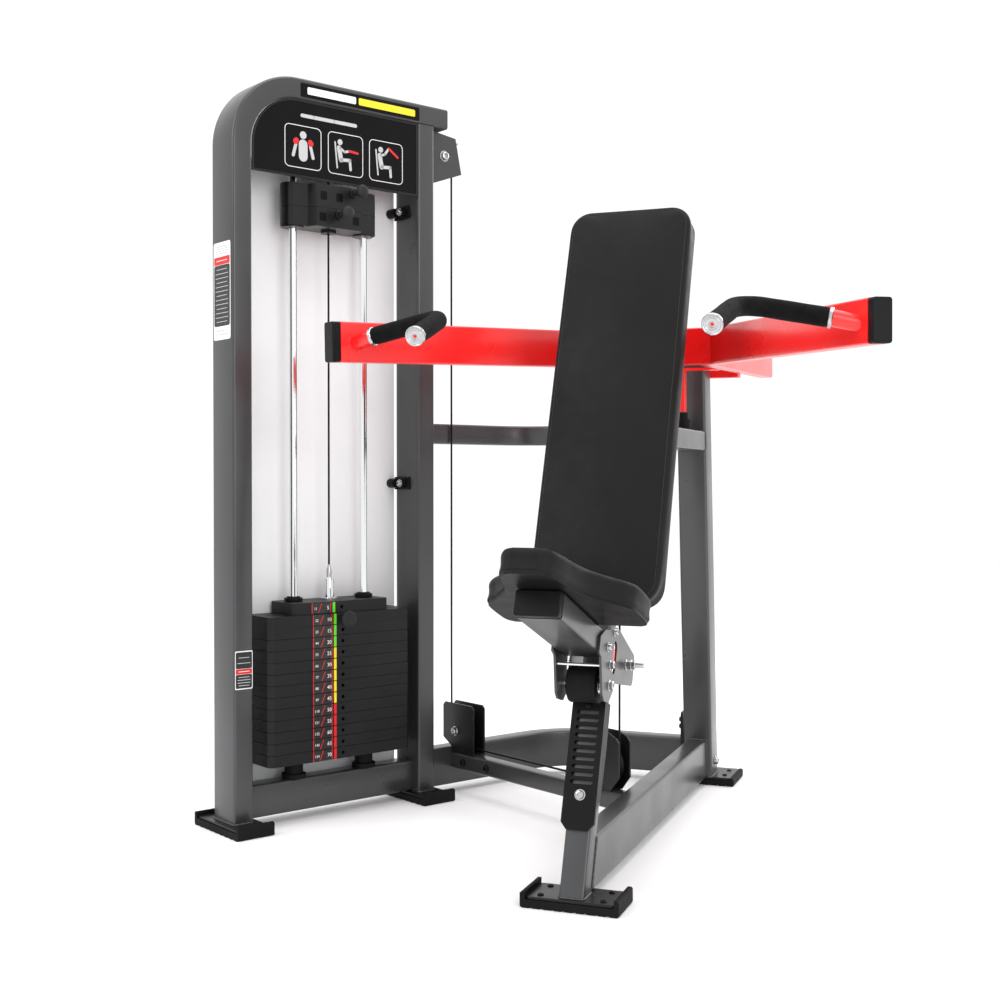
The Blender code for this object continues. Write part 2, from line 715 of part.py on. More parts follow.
def make_cable(m, tower):
    """One steel cable from the stack over four pulleys to the arm; the length above the stack is apart."""
    stack = bmesh.new()
    rod(stack, CABLE_R, (0, 0, STEM_TOP + GAP), TOP_PULLEY_Z - GAP, "z", 8)
    add("stack_cable", stack, m["black"], tower, (0, 0, TOP_PULLEY_Z), smooth=True)

    low_y = PULLEYS[2][1][1]
    path = [(p[0], 0, p[1]) for p in arc((PULLEY_R, TOP_PULLEY_Z), PULLEY_R, 180, 90, 6)]
    path += [(p[0], 0, p[1]) for p in arc((CABLE_T - PULLEY_R, TOP_PULLEY_Z), PULLEY_R, 90, 0, 6)]
    path += [(CABLE_T, *p) for p in arc((low_y, LOW_PULLEY_Z), PULLEY_R, 0, -90, 6)]
    path += [(CABLE_T, *p) for p in arc((SEAT_PULLEY_Y + PULLEY_R, LOW_PULLEY_Z), PULLEY_R, -90, -180, 6)]
    path += [(CABLE_T, SEAT_PULLEY_Y, PIVOT[2] + 0.012)]
    main = bmesh.new()
    sweep(main, path, CABLE_R)
    add("main_cable", main, m["black"], tower, smooth=True)


def make_brackets(m, tower):
    """Channels that carry a pulley each: two cheeks, a web and the axle, welded together."""
    cheek = [(0.2853, 1.701), (0.311, 1.701), (0.373, 1.693), (0.392, 1.603), (0.308, 1.572), (0.2853, 1.570)]
    top = PULLEYS[1][1]
    bm = bmesh.new()
    prism(bm, cheek, -0.022, -0.018, "xz")
    bracket = add("top_bracket", bm, m["frame"], tower)
    other, web, axle = bmesh.new(), bmesh.new(), bmesh.new()
    box(web, (0.2854, -0.020, 1.5705), (0.2892, 0.020, 1.668))
    join(bracket, "top_web", web, tower)
    prism(other, cheek, 0.018, 0.022, "xz")
    join(bracket, "top_cheek", other, tower)
    rod(axle, AXLE_R, (top[0], -0.020, top[2]), 0.020, "y", 12)
    join(bracket, "top_axle", axle, tower)

    floor = CABLE_BEAM_Z[1] + GAP
    near = [(-0.0256, floor), (-0.0256, 0.1215), (0.010, 0.142), (0.010, 0.226), (0.002, 0.234),
            (-0.107, 0.234),
            (-0.115, 0.226), (-0.115, floor)]
    far = [(-0.560, floor), (-0.560, 0.232), (-0.568, 0.240), (-0.603, 0.240), (-0.631, 0.229),
           (-0.640, 0.220),
           (-0.640, 0.140), (-0.613, floor)]
    for name, outline, ends, pulley in (
        ("low_bracket_tower", near, (-0.1148, -0.0258), PULLEYS[2][1]),
        ("low_bracket_seat", far, (-0.6128, -0.5602), PULLEYS[3][1]),
    ):
        bm, other, web, axle = (bmesh.new() for _ in range(4))
        prism(bm, outline, CABLE_T - 0.0195, CABLE_T - 0.0155, "yz")
        bracket = add(name, bm, m["black"], tower)
        box(web, (CABLE_T - 0.017, ends[0], floor + 0.0001), (CABLE_T + 0.017, ends[1], floor + 0.004))
        join(bracket, name + "_web", web, tower)
        prism(other, outline, CABLE_T + 0.0155, CABLE_T + 0.0195, "yz")
        join(bracket, name + "_cheek", other, tower)
        rod(axle, AXLE_R, (CABLE_T - 0.017, *pulley[1:]), CABLE_T + 0.017, "x", 12)
        join(bracket, name + "_axle", axle, tower)


CABLE_BEAM_Z = (0.066, 0.107)


def make_cable_beam(m, tower):
    """Carries the low cable run; its far end is cut to sit flat against the base beam."""
    t = (math.cos(TOWER_TURN), math.sin(TOWER_TURN))
    flank = -BEAM_W / 2 - GAP
    rect_tube(
        "cable_beam", (CABLE_T - 0.020, -1, CABLE_BEAM_Z[0]),
        (CABLE_T + 0.020, -0.0253, CABLE_BEAM_Z[1]), "y",
        m["frame"], tower, start=lambda co: (TOWER_AT[0] + co.x * t[0] - flank) / t[1],
    )


# ---- press station ------------------------------------------------------------------------------
COVER_T = 0.008
COVER_HALF = 0.0335
FLANGE = (
    # v and w of the cover's side walls, which reach back along the post
    (-COVER_T + WELD, 0.185), (0.018, 0.212), (0.023, 0.247), (0.028, 0.296), (0.028, 0.400),
    (-COVER_T + WELD, 0.400),
)
COVER_W = (0.150, 0.470)
SLOT = (0.046, 0.008, 0.0151)  # length, height and pitch of the ladder slots


def make_cover(m, post):
    """The ladder in front of the post: the seat's latch drops into its slots."""
    low, high = COVER_W
    half, toe = COVER_HALF, 0.022
    outline = [(-toe, low), (toe, low), (half, low + 0.014), (half, high), (-half, high), (-half, low + 0.014)]
    bm = bmesh.new()
    prism(bm, outline, -COVER_T, -GAP, "xz")
    cover = add("ladder_cover", bm, m["plastic"], post)
    for side in (-1, 1):
        wall = bmesh.new()
        prism(wall, FLANGE, *sorted((side * (BEAM_W / 2 + GAP), side * half)), "yz")
        join(cover, "cover_wall", wall, post)
    slots = bmesh.new()
    length, height, pitch = SLOT
    for i in range(10):
        level = 0.241 + i * pitch
        half_slot = length / 2 - height / 2
        shape = arc((half_slot, level), height / 2, -90, 90, 3)
        shape += arc((-half_slot, level), height / 2, 90, 270, 3)
        prism(slots, shape, -0.02, 0.01, "xz")
    cut(cover, cutter("ladder_slots", slots, post))


def bevelled(name, bm, mat, parent, width, segments=2, angle=40, at=(0, 0, 0)):
    obj = add(name, bm, mat, parent, at, smooth=True)
    mod = obj.modifiers.new("edges", "BEVEL")
    mod.width = width
    mod.segments = segments
    mod.limit_method = "ANGLE"
    mod.angle_limit = math.radians(angle)
    return obj


BACK_V = (-0.073, -0.0003)   # front and rear of the back pad, across the post


def make_backrest(m, post):
    middle = (BACK_LOW + BACK_HIGH) / 2
    tall = (BACK_HIGH - BACK_LOW) / 2
    pad = bmesh.new()
    prism(pad, rounded(BACK_HALF, tall, 0.045, 5, (0, middle)), *BACK_V, "xz")
    bevelled("backrest_pad", pad, m["leather"], post, 0.010)


SEAT_PLAN = (
    # half width and distance in front of the post, nose to rear
    (0.026, -0.477), (0.045, -0.464), (0.057, -0.435), (0.066, -0.395), (0.080, -0.350), (0.110, -0.305),
    (0.134, -0.275), (0.146, -0.243), (0.146, -0.160), (0.134, -0.137), (0.120, -0.134),
)
SEAT_TUBE_HALF = 0.043
SIDE_PLATE = (
    # v and w: round the front and foot, up the rear and back along the top
    (-0.135, 0.468), (-0.118, 0.463), (-0.086, 0.397), (-0.072, 0.388), (-0.040, 0.391), (-0.018, 0.416),
    (-0.006, 0.436), (0.116, 0.457), (0.124, 0.464), (0.124, 0.514), (0.117, 0.522), (-0.005, 0.543),
    (-0.105, 0.520), (-0.135, 0.500),
)
ROLLER = (-COVER_T - GAP - 0.038, 0.426, 0.038)  # v, w and radius of the front roller
LEVER = (-0.030, 0.507)
LEVER_V, SLOT_R = -0.0275, 0.0125  # the slot in the side plates that shows the lever


def make_seat(m, post):
    """Everything that slides along the post with the seat. It is drawn at the top of its travel."""
    seat = empty("seat_slide", (0, 0, 0))
    seat.parent = post
    low, high = SEAT_W
    outline = list(SEAT_PLAN) + [(-x, v) for x, v in reversed(SEAT_PLAN)]
    pad = bmesh.new()
    prism(pad, outline, low, high, "xy")
    bevelled("seat_pad", pad, m["leather"], seat, 0.009, 2, 50)

    half, plate = SEAT_TUBE_HALF, 0.005
    rect_tube("seat_tube", (-half, -0.365, 0.472), (half, -0.075, low - GAP), "y", m["frame"], seat)

    slot = bmesh.new()
    shape = arc((LEVER_V, 0.5035), SLOT_R, 0, 180, 6) + arc((LEVER_V, 0.4625), SLOT_R, 180, 360, 6)
    prism(slot, shape, -0.06, 0.06, "yz")
    lever_slot = cutter("lever_slot", slot, seat)
    for name, side in (("left", -1), ("right", 1)):
        bm = bmesh.new()
        prism(bm, SIDE_PLATE, *sorted((side * (half + GAP), side * (half + plate))), "yz")
        cut(add("seat_side_plate_" + name, bm, m["frame"], seat), lever_slot)

    v, w, radius = ROLLER
    wheel = bmesh.new()
    turned_bar(wheel, [(0, -half), (0.008, -half), (0.008, -0.030), (radius, -0.030), (radius, 0.030),
                       (0.008, 0.030), (0.008, half), (0, half)], 24)
    obj = add("seat_roller", wheel, m["rubber"], seat, smooth=True)
    obj.location = (0, v, w)
    obj.rotation_euler = AXES["x"].to_euler()

    lever = bmesh.new()
    shape = [(-0.048, 0.446), (-0.030, 0.440), (-0.012, 0.446), (-0.014, 0.500), (-0.022, 0.517),
             (-0.040, 0.517), (-0.048, 0.506)]
    prism(lever, shape, 0.0355, 0.0405, "yz")
    add("seat_release_lever", lever, m["arm"], seat, (0.038, *LEVER))


# ---- press arm ----------------------------------------------------------------------------------
ARM_REACH = 0.671            # length of a front arm's inner face
GRIP_R = 0.0185
STUB_R = 0.016


def arm_points():
    """Start and end of the right arm's inner face, and its outward side, in the arm's plan."""
    along = Vector((math.sin(ARM_SPREAD), -math.cos(ARM_SPREAD)))
    outward = Vector((math.cos(ARM_SPREAD), math.sin(ARM_SPREAD)))
    start = Vector((CROSS_HALF + GAP, CROSS_Y))
    return start, start + along * ARM_REACH, along, outward


def make_arm(m):
    """The whole press arm turns about the shaft at the top of the rear upright."""
    arm = empty("press_arm_axis", PIVOT, (ARM_DROP, 0, 0))
    low, high = -ARM_H / 2, ARM_H / 2
    corners = (-CROSS_HALF, CROSS_Y, low), (CROSS_HALF, CROSS_Y + ARM_T, high)
    rect_tube("arm_cross_tube", *corners, "x", m["arm"], arm)
    inner = CROSS_HALF - ARM_T
    reach = inner - GAP
    for name, side in (("left", -1), ("right", 1)):
        make_front_tube(m, arm, name, side)
        near, far = sorted((side * inner, side * CROSS_HALF))
        corners = (near, CROSS_Y + ARM_T + GAP, low), (far, TAIL_Y, high)
        rect_tube("arm_rear_tube_" + name, *corners, "y", m["arm"], arm)
    bar = bmesh.new()
    box(bar, (-reach, 0.131, low - 0.010), (reach, 0.171, high))
    add("arm_rear_bar", bar, m["arm"], arm)

    shaft = bmesh.new()
    rod(shaft, PIVOT_R, (-reach, 0, 0), reach, "x", 20)
    add("pivot_shaft", shaft, m["chrome"], arm, smooth=True)

    plate, tab = bmesh.new(), bmesh.new()
    box(plate, (-reach, -0.134, low + GAP), (reach, -0.094, low + 0.006))
    box(tab, (-0.005, -0.130, -0.1448), (0.005, -0.098, low + 0.004))
    join(add("stop_tab", plate, m["arm"], arm), "stop_blade", tab, arm)
    make_cam(m, arm)


def make_front_tube(m, arm, name, side):
    """One front arm with the stub of its grip, the plug in its end and the foam grip."""
    low, high = -ARM_H / 2, ARM_H / 2
    start, end, along, outward = arm_points()
    outer_start = start + outward * ARM_T
    outer_start -= along * ((outer_start.x - start.x) / along.x)
    outline = [start, end, end + outward * ARM_T, outer_start]
    bm, bore = bmesh.new(), bmesh.new()
    prism(bm, [(side * p.x, p.y) for p in outline], low, high, "xy")
    tube = add("arm_front_tube_" + name, bm, m["arm"], arm)
    inside = [start - along + outward * WALL, end + along + outward * WALL]
    inside += [p + outward * (ARM_T - 2 * WALL) for p in reversed(inside)]
    prism(bore, [(side * p.x, p.y) for p in inside], low + WALL, high - WALL, "xy")
    cut(tube, cutter("arm_bore_" + name, bore, arm))

    tip = end + along * GAP
    shape = [tip, tip + along * 0.020, tip + along * 0.020 + outward * ARM_T, tip + outward * ARM_T]
    cap = bmesh.new()
    prism(cap, [(side * p.x, p.y) for p in shape], low, high, "xy")
    add("arm_end_cap_" + name, cap, m["plastic"], arm)

    place = Matrix.Translation(PIVOT) @ Matrix.Rotation(ARM_DROP, 4, "X")
    flip = Vector((side, 1, 1))
    root, collar, elbow, tip = (place.inverted() @ Vector(p) for p in GRIP)
    into = (collar - root).normalized()
    stub = bmesh.new()
    sweep(stub, [(root - into * 0.006) * flip, (collar + into * 0.006) * flip], STUB_R, 14)
    join(tube, "grip_stub_" + name, stub, arm)

    first = collar + into * (0.006 + GAP)
    before, after = (first - elbow).normalized(), (tip - elbow).normalized()
    shares = [i / 6 for i in range(7)]
    bend = [elbow + (before * (1 - f) ** 2 + after * f ** 2) * GRIP_BEND for f in shares]
    foam = bmesh.new()
    sweep(foam, [p * flip for p in [first, first + into * 0.008, *bend, tip]], GRIP_R, 14)
    add("grip_foam_" + name, foam, m["foam"], arm, smooth=True)


GRIP = (
    # root, collar, elbow and end of the right grip, in the machine's frame
    (0.5050, 0.0880, 1.0980), (0.4625, 0.0720, 1.1070), (0.2960, 0.0560, 1.1395), (0.2825, -0.1200, 1.0815),
)
GRIP_BEND = 0.060


def make_cam(m, arm):
    """A segment of a wheel about the arm's pivot: the cable lies on its rim as the arm goes up."""
    rim = CAM_R - CABLE_R - GAP
    outline = [(-p[0], -p[1]) for p in arc((0, 0), rim, -4, 41, 14)]
    outline += [(CROSS_Y - 0.030, -0.200), (CROSS_Y - 0.0003, -0.0415), (CROSS_Y - 0.0003, 0.036)]
    side = -0.0525
    bm = bmesh.new()
    prism(bm, outline, side - 0.004, side + 0.004, "yz")
    add("cable_cam", bm, m["arm"], arm)


def make_stop(m):
    """The arm's stop tab comes down on this bumper."""
    bm = bmesh.new()
    turned_bar(bm, [(0, 0), (0.020, 0), (0.020, 0.025), (0.013, 0.027), (0.013, 0.0435), (0, 0.0435)], 16)
    obj = add("stop_bumper", bm, m["rubber"], smooth=True)
    obj.location = (0, 0.905, LINK_Z[1] + GAP)


def build():
    for obj in list(bpy.data.objects):
        bpy.data.objects.remove(obj)
    for group in (MACHINE, CUTTERS):
        bpy.context.scene.collection.children.link(group)
    m = make_materials()
    tower = empty("tower_axis", (*TOWER_AT, 0), (0, 0, TOWER_TURN))
    make_boots(m, tower)
    post = make_station(m)
    make_side_tubes(m)
    make_tower(m, tower)
    make_stack(m, tower)
    make_pin(m, tower)
    make_rods(m, tower)
    make_addons(m, tower)
    make_pulleys(m, tower)
    make_cable(m, tower)
    make_brackets(m, tower)
    make_cable_beam(m, tower)
    make_cover(m, post)
    make_backrest(m, post)
    make_seat(m, post)
    make_arm(m)
    make_stop(m)


build()
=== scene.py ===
"""Looks of a shoulder press machine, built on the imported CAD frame. Metres, +Z up, the user faces -Y."""
import math

import bmesh
import bpy
from mathutils import Matrix, Vector


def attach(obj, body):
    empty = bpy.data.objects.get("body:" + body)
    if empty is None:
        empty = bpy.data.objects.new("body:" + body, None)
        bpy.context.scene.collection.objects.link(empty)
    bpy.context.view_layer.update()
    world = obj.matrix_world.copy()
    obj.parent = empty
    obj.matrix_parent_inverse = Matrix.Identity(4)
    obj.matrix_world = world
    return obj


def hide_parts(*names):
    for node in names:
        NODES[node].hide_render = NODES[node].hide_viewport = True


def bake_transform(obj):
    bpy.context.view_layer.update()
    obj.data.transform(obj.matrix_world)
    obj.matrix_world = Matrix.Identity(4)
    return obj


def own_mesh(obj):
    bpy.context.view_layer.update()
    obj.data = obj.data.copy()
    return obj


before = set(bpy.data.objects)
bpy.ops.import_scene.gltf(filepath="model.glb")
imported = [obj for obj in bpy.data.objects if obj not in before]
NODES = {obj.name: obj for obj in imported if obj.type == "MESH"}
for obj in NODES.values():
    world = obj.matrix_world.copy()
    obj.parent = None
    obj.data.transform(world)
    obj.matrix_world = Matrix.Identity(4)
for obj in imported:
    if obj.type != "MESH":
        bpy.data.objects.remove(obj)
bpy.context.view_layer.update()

TOWER = Matrix.Translation((-0.7793, 0.4811, 0)) @ Matrix.Rotation(math.radians(60), 4, "Z")
POST = Matrix.Translation((0, -0.0446, 0)) @ Matrix.Rotation(math.radians(-20), 4, "X")
UPRIGHT = Matrix.Translation((0, 1.0971, 0)) @ Matrix.Rotation(math.radians(5.9), 4, "X")
ARM = Matrix.Translation((0, 1.019, 1.132)) @ Matrix.Rotation(math.radians(2.05), 4, "X")
WORLD = Matrix.Identity(4)
GAP = 0.0003

# places in the tower's frame
ROD_T = 0.1                              # guide rods, either side of the middle
HIGH_Z, LOW_Z = 1.643, 0.163             # wheel axes
HEAD_T, TOP_T, RISER_T = 0.040, 0.336, 0.376
NEAR_Y, FAR_Y = -0.041, -0.583           # the two low wheels


# ---- materials ----------------------------------------------------------------------------------
class Paint:
    """A Principled material whose colour, roughness and bump come from noise in object space."""

    def __init__(self, name, colour, rough, metal=0.0, coat=0.0, spec=0.5):
        self.mat = bpy.data.materials.new(name)
        self.mat.use_nodes = True
        self.tree = self.mat.node_tree
        self.bsdf = self.tree.nodes["Principled BSDF"]
        self.bsdf.inputs["Base Color"].default_value = (*colour, 1)
        self.bsdf.inputs["Roughness"].default_value = rough
        self.bsdf.inputs["Metallic"].default_value = metal
        self.bsdf.inputs["Coat Weight"].default_value = coat
        self.bsdf.inputs["Coat Roughness"].default_value = 0.15
        self.bsdf.inputs["Specular IOR Level"].default_value = spec
        self.colour = colour
        self.rough = rough
        self.coords = self.tree.nodes.new("ShaderNodeTexCoord")
        self.height = None

    def node(self, kind, **inputs):
        made = self.tree.nodes.new(kind)
        for key, value in inputs.items():
            made.inputs[key.replace("_", " ")].default_value = value
        return made

    def link(self, a, b):
        self.tree.links.new(a, b)

    def noise(self, scale, detail=4.0, stretch=None, rough=0.55):
        made = self.node("ShaderNodeTexNoise", Scale=scale, Detail=detail, Roughness=rough)
        source = self.coords.outputs["Object"]
        if stretch:
            mapping = self.tree.nodes.new("ShaderNodeMapping")
            mapping.inputs["Scale"].default_value = stretch
            self.link(source, mapping.inputs["Vector"])
            source = mapping.outputs["Vector"]
        self.link(source, made.inputs["Vector"])
        return made.outputs["Fac"]

    def ramp(self, fac, low, high, a, b):
        made = self.tree.nodes.new("ShaderNodeMapRange")
        made.inputs["From Min"].default_value = low
        made.inputs["From Max"].default_value = high
        made.inputs["To Min"].default_value = a
        made.inputs["To Max"].default_value = b
        self.link(fac, made.inputs["Value"])
        return made.outputs["Result"]

    def vary_colour(self, fac, other, low=0.3, high=0.7):
        made = self.tree.nodes.new("ShaderNodeMix")
        made.data_type = "RGBA"
        made.inputs["A"].default_value = (*self.colour, 1)
        made.inputs["B"].default_value = (*other, 1)
        current = self.bsdf.inputs["Base Color"]
        if current.links:
            self.link(current.links[0].from_socket, made.inputs["A"])
        self.link(self.ramp(fac, low, high, 0, 1), made.inputs["Factor"])
        self.link(made.outputs["Result"], current)
        return self

    def vary_rough(self, fac, spread):
        rough = self.ramp(fac, 0.25, 0.75, self.rough - spread, self.rough + spread)
        self.link(rough, self.bsdf.inputs["Roughness"])
        return self

    def bump(self, fac, distance, strength=1.0):
        made = self.node("ShaderNodeBump", Strength=strength, Distance=distance)
        self.link(fac, made.inputs["Height"])
        if self.height:
            self.link(self.height, made.inputs["Normal"])
        self.height = made.outputs["Normal"]
        self.link(self.height, self.bsdf.inputs["Normal"])
        return self

    def cells(self, scale, feature="F1", stretch=None):
        made = self.tree.nodes.new("ShaderNodeTexVoronoi")
        made.feature = feature
        made.inputs["Scale"].default_value = scale
        source = self.coords.outputs["Object"]
        if stretch:
            mapping = self.tree.nodes.new("ShaderNodeMapping")
            mapping.inputs["Scale"].default_value = stretch
            self.link(source, mapping.inputs["Vector"])
            source = mapping.outputs["Vector"]
        self.link(source, made.inputs["Vector"])
        return made.outputs["Distance"]


def powder(name, colour, other, rough, metal, coat=0.0, spec=0.5):
    """Powder-coated steel: a slight orange peel, cloudy gloss and a faint change of tone."""
    p = Paint(name, colour, rough, metal, coat, spec)
    p.vary_colour(p.noise(2.2, 3), other, 0.35, 0.75)
    p.vary_rough(p.noise(9.0, 5), 0.06)
    p.bump(p.noise(420.0, 2), 0.00012, 0.35)
    return p.mat


def leather(name, colour, other):
    p = Paint(name, colour, 0.50, 0.0, 0.0, 0.14)
    p.vary_colour(p.noise(5.0, 4), other, 0.3, 0.75)
    p.vary_rough(p.noise(30.0, 4), 0.07)
    p.bump(p.noise(14.0, 3), 0.0012, 0.25)
    p.bump(p.cells(520.0), 0.0004, 0.55)
    p.bump(p.noise(1500.0, 2), 0.0001, 0.4)
    return p.mat


def plastic(name, colour, rough, grain=900.0, depth=0.00012):
    p = Paint(name, colour, rough, 0.0, 0.0, 0.12)
    p.vary_colour(p.noise(12.0, 3), tuple(c * 1.3 + 0.001 for c in colour), 0.4, 0.8)
    p.vary_rough(p.noise(25.0, 4), 0.06)
    p.bump(p.noise(grain, 2), depth, 0.6)
    return p.mat


def chrome(name, colour, rough, stretch=None):
    p = Paint(name, colour, rough, 1.0)
    p.vary_rough(p.noise(60.0, 4, stretch), min(0.05, rough * 0.6))
    p.bump(p.noise(300.0, 3, stretch), 0.00003, 0.4)
    return p.mat


def ink(name, colour, rough=0.4):
    p = Paint(name, colour, rough)
    p.vary_colour(p.noise(80.0, 3), tuple(min(1, c * 0.9 + 0.01) for c in colour), 0.4, 0.8)
    p.vary_rough(p.noise(120.0, 3), 0.05)
    return p.mat


def foam(name):
    p = Paint(name, (0.003, 0.003, 0.003), 0.78, 0.0, 0.0, 0.08)
    p.bsdf.inputs["Sheen Weight"].default_value = 0.02
    p.bsdf.inputs["Sheen Roughness"].default_value = 0.5
    p.vary_colour(p.noise(40.0, 4), (0.007, 0.007, 0.007), 0.35, 0.75)
    p.vary_rough(p.noise(90.0, 3), 0.08)
    p.bump(p.cells(1100.0), 0.0005, 0.7)
    return p.mat


def cast(name):
    p = Paint(name, (0.008, 0.008, 0.009), 0.42, 0.0, 0.0, 0.20)
    p.vary_colour(p.noise(7.0, 4), (0.013, 0.013, 0.014), 0.3, 0.8)
    p.vary_rough(p.noise(16.0, 5), 0.08)
    p.bump(p.noise(260.0, 3), 0.0002, 0.45)
    return p.mat


def frosted(name):
    p = Paint(name, (0.80, 0.81, 0.82), 0.38, 0.0, 0.0, 0.5)
    p.bsdf.inputs["Transmission Weight"].default_value = 0.0
    p.vary_colour(p.noise(3.0, 3), (0.88, 0.89, 0.90), 0.3, 0.7)
    p.vary_rough(p.noise(14.0, 4), 0.06)
    p.bump(p.noise(700.0, 2), 0.00015, 0.5)
    return p.mat


FRAME = powder("frame_paint", (0.056, 0.057, 0.059), (0.074, 0.075, 0.078), 0.32, 0.55, 0.15)
DARK = powder("dark_paint", (0.006, 0.006, 0.007), (0.010, 0.010, 0.011), 0.30, 0.0, 0.0, 0.30)
RED = powder("red_paint", (0.83, 0.006, 0.006), (0.90, 0.012, 0.010), 0.30, 0.0, 0.3)
PLATE = cast("plate_paint")
RUBBER = plastic("rubber_black", (0.006, 0.006, 0.006), 0.66, 500.0, 0.0003)
BLACK = plastic("plastic_black", (0.006, 0.006, 0.0065), 0.38)
GLOSS = plastic("panel_black", (0.003, 0.003, 0.0035), 0.24, 1400.0, 0.00004)
GREY = plastic("knob_grey", (0.022, 0.023, 0.024), 0.36)
FOAM = foam("grip_foam")
LEATHER = leather("cushion_cover", (0.0050, 0.0050, 0.0054), (0.0085, 0.0085, 0.0090))
THREAD = ink("thread", (0.030, 0.030, 0.031), 0.7)
CHROME = chrome("chrome", (0.78, 0.79, 0.80), 0.10)
ROD = chrome("ground_rod", (0.84, 0.85, 0.86), 0.14, (1, 1, 0.05))
ZINC = chrome("zinc_bolt", (0.50, 0.50, 0.51), 0.24)
SHEET = frosted("guard_sheet")
CABLE = plastic("cable_cover", (0.005, 0.005, 0.005), 0.35, 2000.0, 0.00005)
WHITE = ink("print_white", (0.80, 0.80, 0.80))
PRINT_RED = ink("print_red", (0.62, 0.004, 0.004))
PRINT_GREEN = ink("print_green", (0.10, 0.62, 0.01))
PRINT_YELLOW = ink("print_yellow", (0.80, 0.66, 0.01))
PRINT_BLACK = ink("print_black", (0.006, 0.006, 0.006), 0.35)
PRINT_GREY = ink("print_grey", (0.50, 0.50, 0.51))


# ---- mesh tools ---------------------------------------------------------------------------------
def piece(name, bm, mat, place=WORLD, body="frame", smooth=35, bevel=0.0, segments=2, replaces=()):
    bmesh.ops.recalc_face_normals(bm, faces=bm.faces)
    mesh = bpy.data.meshes.new(name)
    bm.to_mesh(mesh)
    bm.free()
    mesh.transform(place)
    mesh.materials.append(mat)
    mesh.shade_smooth()
    mesh.set_sharp_from_angle(angle=math.radians(smooth))
    obj = bpy.data.objects.new(name, mesh)
    bpy.context.scene.collection.objects.link(obj)
    if bevel:
        mod = obj.modifiers.new("edges", "BEVEL")
        mod.width = bevel
        mod.segments = segments
        mod.limit_method = "ANGLE"
        mod.angle_limit = math.radians(30)
        mod.harden_normals = True
    if body:
        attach(obj, body)
    if replaces:
        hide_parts(*replaces)
    return obj


def box(bm, low, high):
    low, high = Vector(low), Vector(high)
    for v in bmesh.ops.create_cube(bm, size=1.0)["verts"]:
        v.co = Vector([low[i] + (v.co[i] + 0.5) * (high[i] - low[i]) for i in range(3)])


def lathe(bm, profile, at=(0, 0, 0), along=(0, 0, 1), sides=32):
    """A turned solid: profile of (radius, height) pairs along a direction."""
    turn = Vector((0, 0, 1)).rotation_difference(Vector(along).normalized()).to_matrix().to_4x4()
    place = Matrix.Translation(at) @ turn
    loops = []
    for radius, height in profile:
        if radius < 1e-6:
            loops.append([bm.verts.new(place @ Vector((0, 0, height)))])
        else:
            angles = [2 * math.pi * i / sides for i in range(sides)]
            loops.append([bm.verts.new(place @ Vector((radius * math.cos(a), radius * math.sin(a), height)))
                          for a in angles])
    for one, two in zip(loops, loops[1:]):
        for i in range(sides):
            j = (i + 1) % sides
            if len(one) == 1 and len(two) > 1:
                bm.faces.new((one[0], two[j], two[i]))
            elif len(two) == 1 and len(one) > 1:
                bm.faces.new((one[i], one[j], two[0]))
            elif len(one) > 1:
                bm.faces.new((one[i], one[j], two[j], two[i]))


def ring(bm, outer, inner, length, at, along=(0, 0, 1), sides=32, soft=0.001):
    profile = [(inner, 0), (outer - soft, 0), (outer, soft), (outer, length - soft), (outer - soft, length),
               (inner, length), (inner, 0)]
    lathe(bm, profile, at, along, sides)


def arc(centre, radius, start, end, steps):
    angles = [math.radians(start + (end - start) * i / steps) for i in range(steps + 1)]
    return [(centre[0] + radius * math.cos(a), centre[1] + radius * math.sin(a)) for a in angles]


def rounded(half_u, half_v, radius, steps=6, centre=(0.0, 0.0)):
    points = []
    for su, sv, start in ((1, 1, 0), (-1, 1, 90), (-1, -1, 180), (1, -1, 270)):
        corner = (centre[0] + su * (half_u - radius), centre[1] + sv * (half_v - radius))
        points += arc(corner, radius, start, start + 90, steps)
    return points


def loft(bm, loops, closed=False):
    """Skins a row of loops with equal counts of points; closed joins the last loop to the first."""
    pairs = list(zip(loops, loops[1:]))
    if closed:
        pairs.append((loops[-1], loops[0]))
    for one, two in pairs:
        for i in range(len(one)):
            j = (i + 1) % len(one)
            bm.faces.new((one[i], one[j], two[j], two[i]))


def flat_loop(bm, outline, depth, plane):
    a, b = ("xyz".index(c) for c in plane)
    loop = []
    for p in outline:
        co = [depth, depth, depth]
        co[a], co[b] = p[0], p[1]
        loop.append(bm.verts.new(co))
    return loop


def prism(bm, outline, low, high, plane="xz"):
    rims = [flat_loop(bm, outline, depth, plane) for depth in (low, high)]
    bm.faces.new(rims[0])
    bm.faces.new(list(reversed(rims[1])))
    loft(bm, rims)


def hollow_prism(bm, outer, inner, low, high, plane="xz"):
    """A flat frame between two outlines with the same number of points."""
    around = ((outer, low), (outer, high), (inner, high), (inner, low))
    loft(bm, [flat_loop(bm, outline, depth, plane) for outline, depth in around], closed=True)


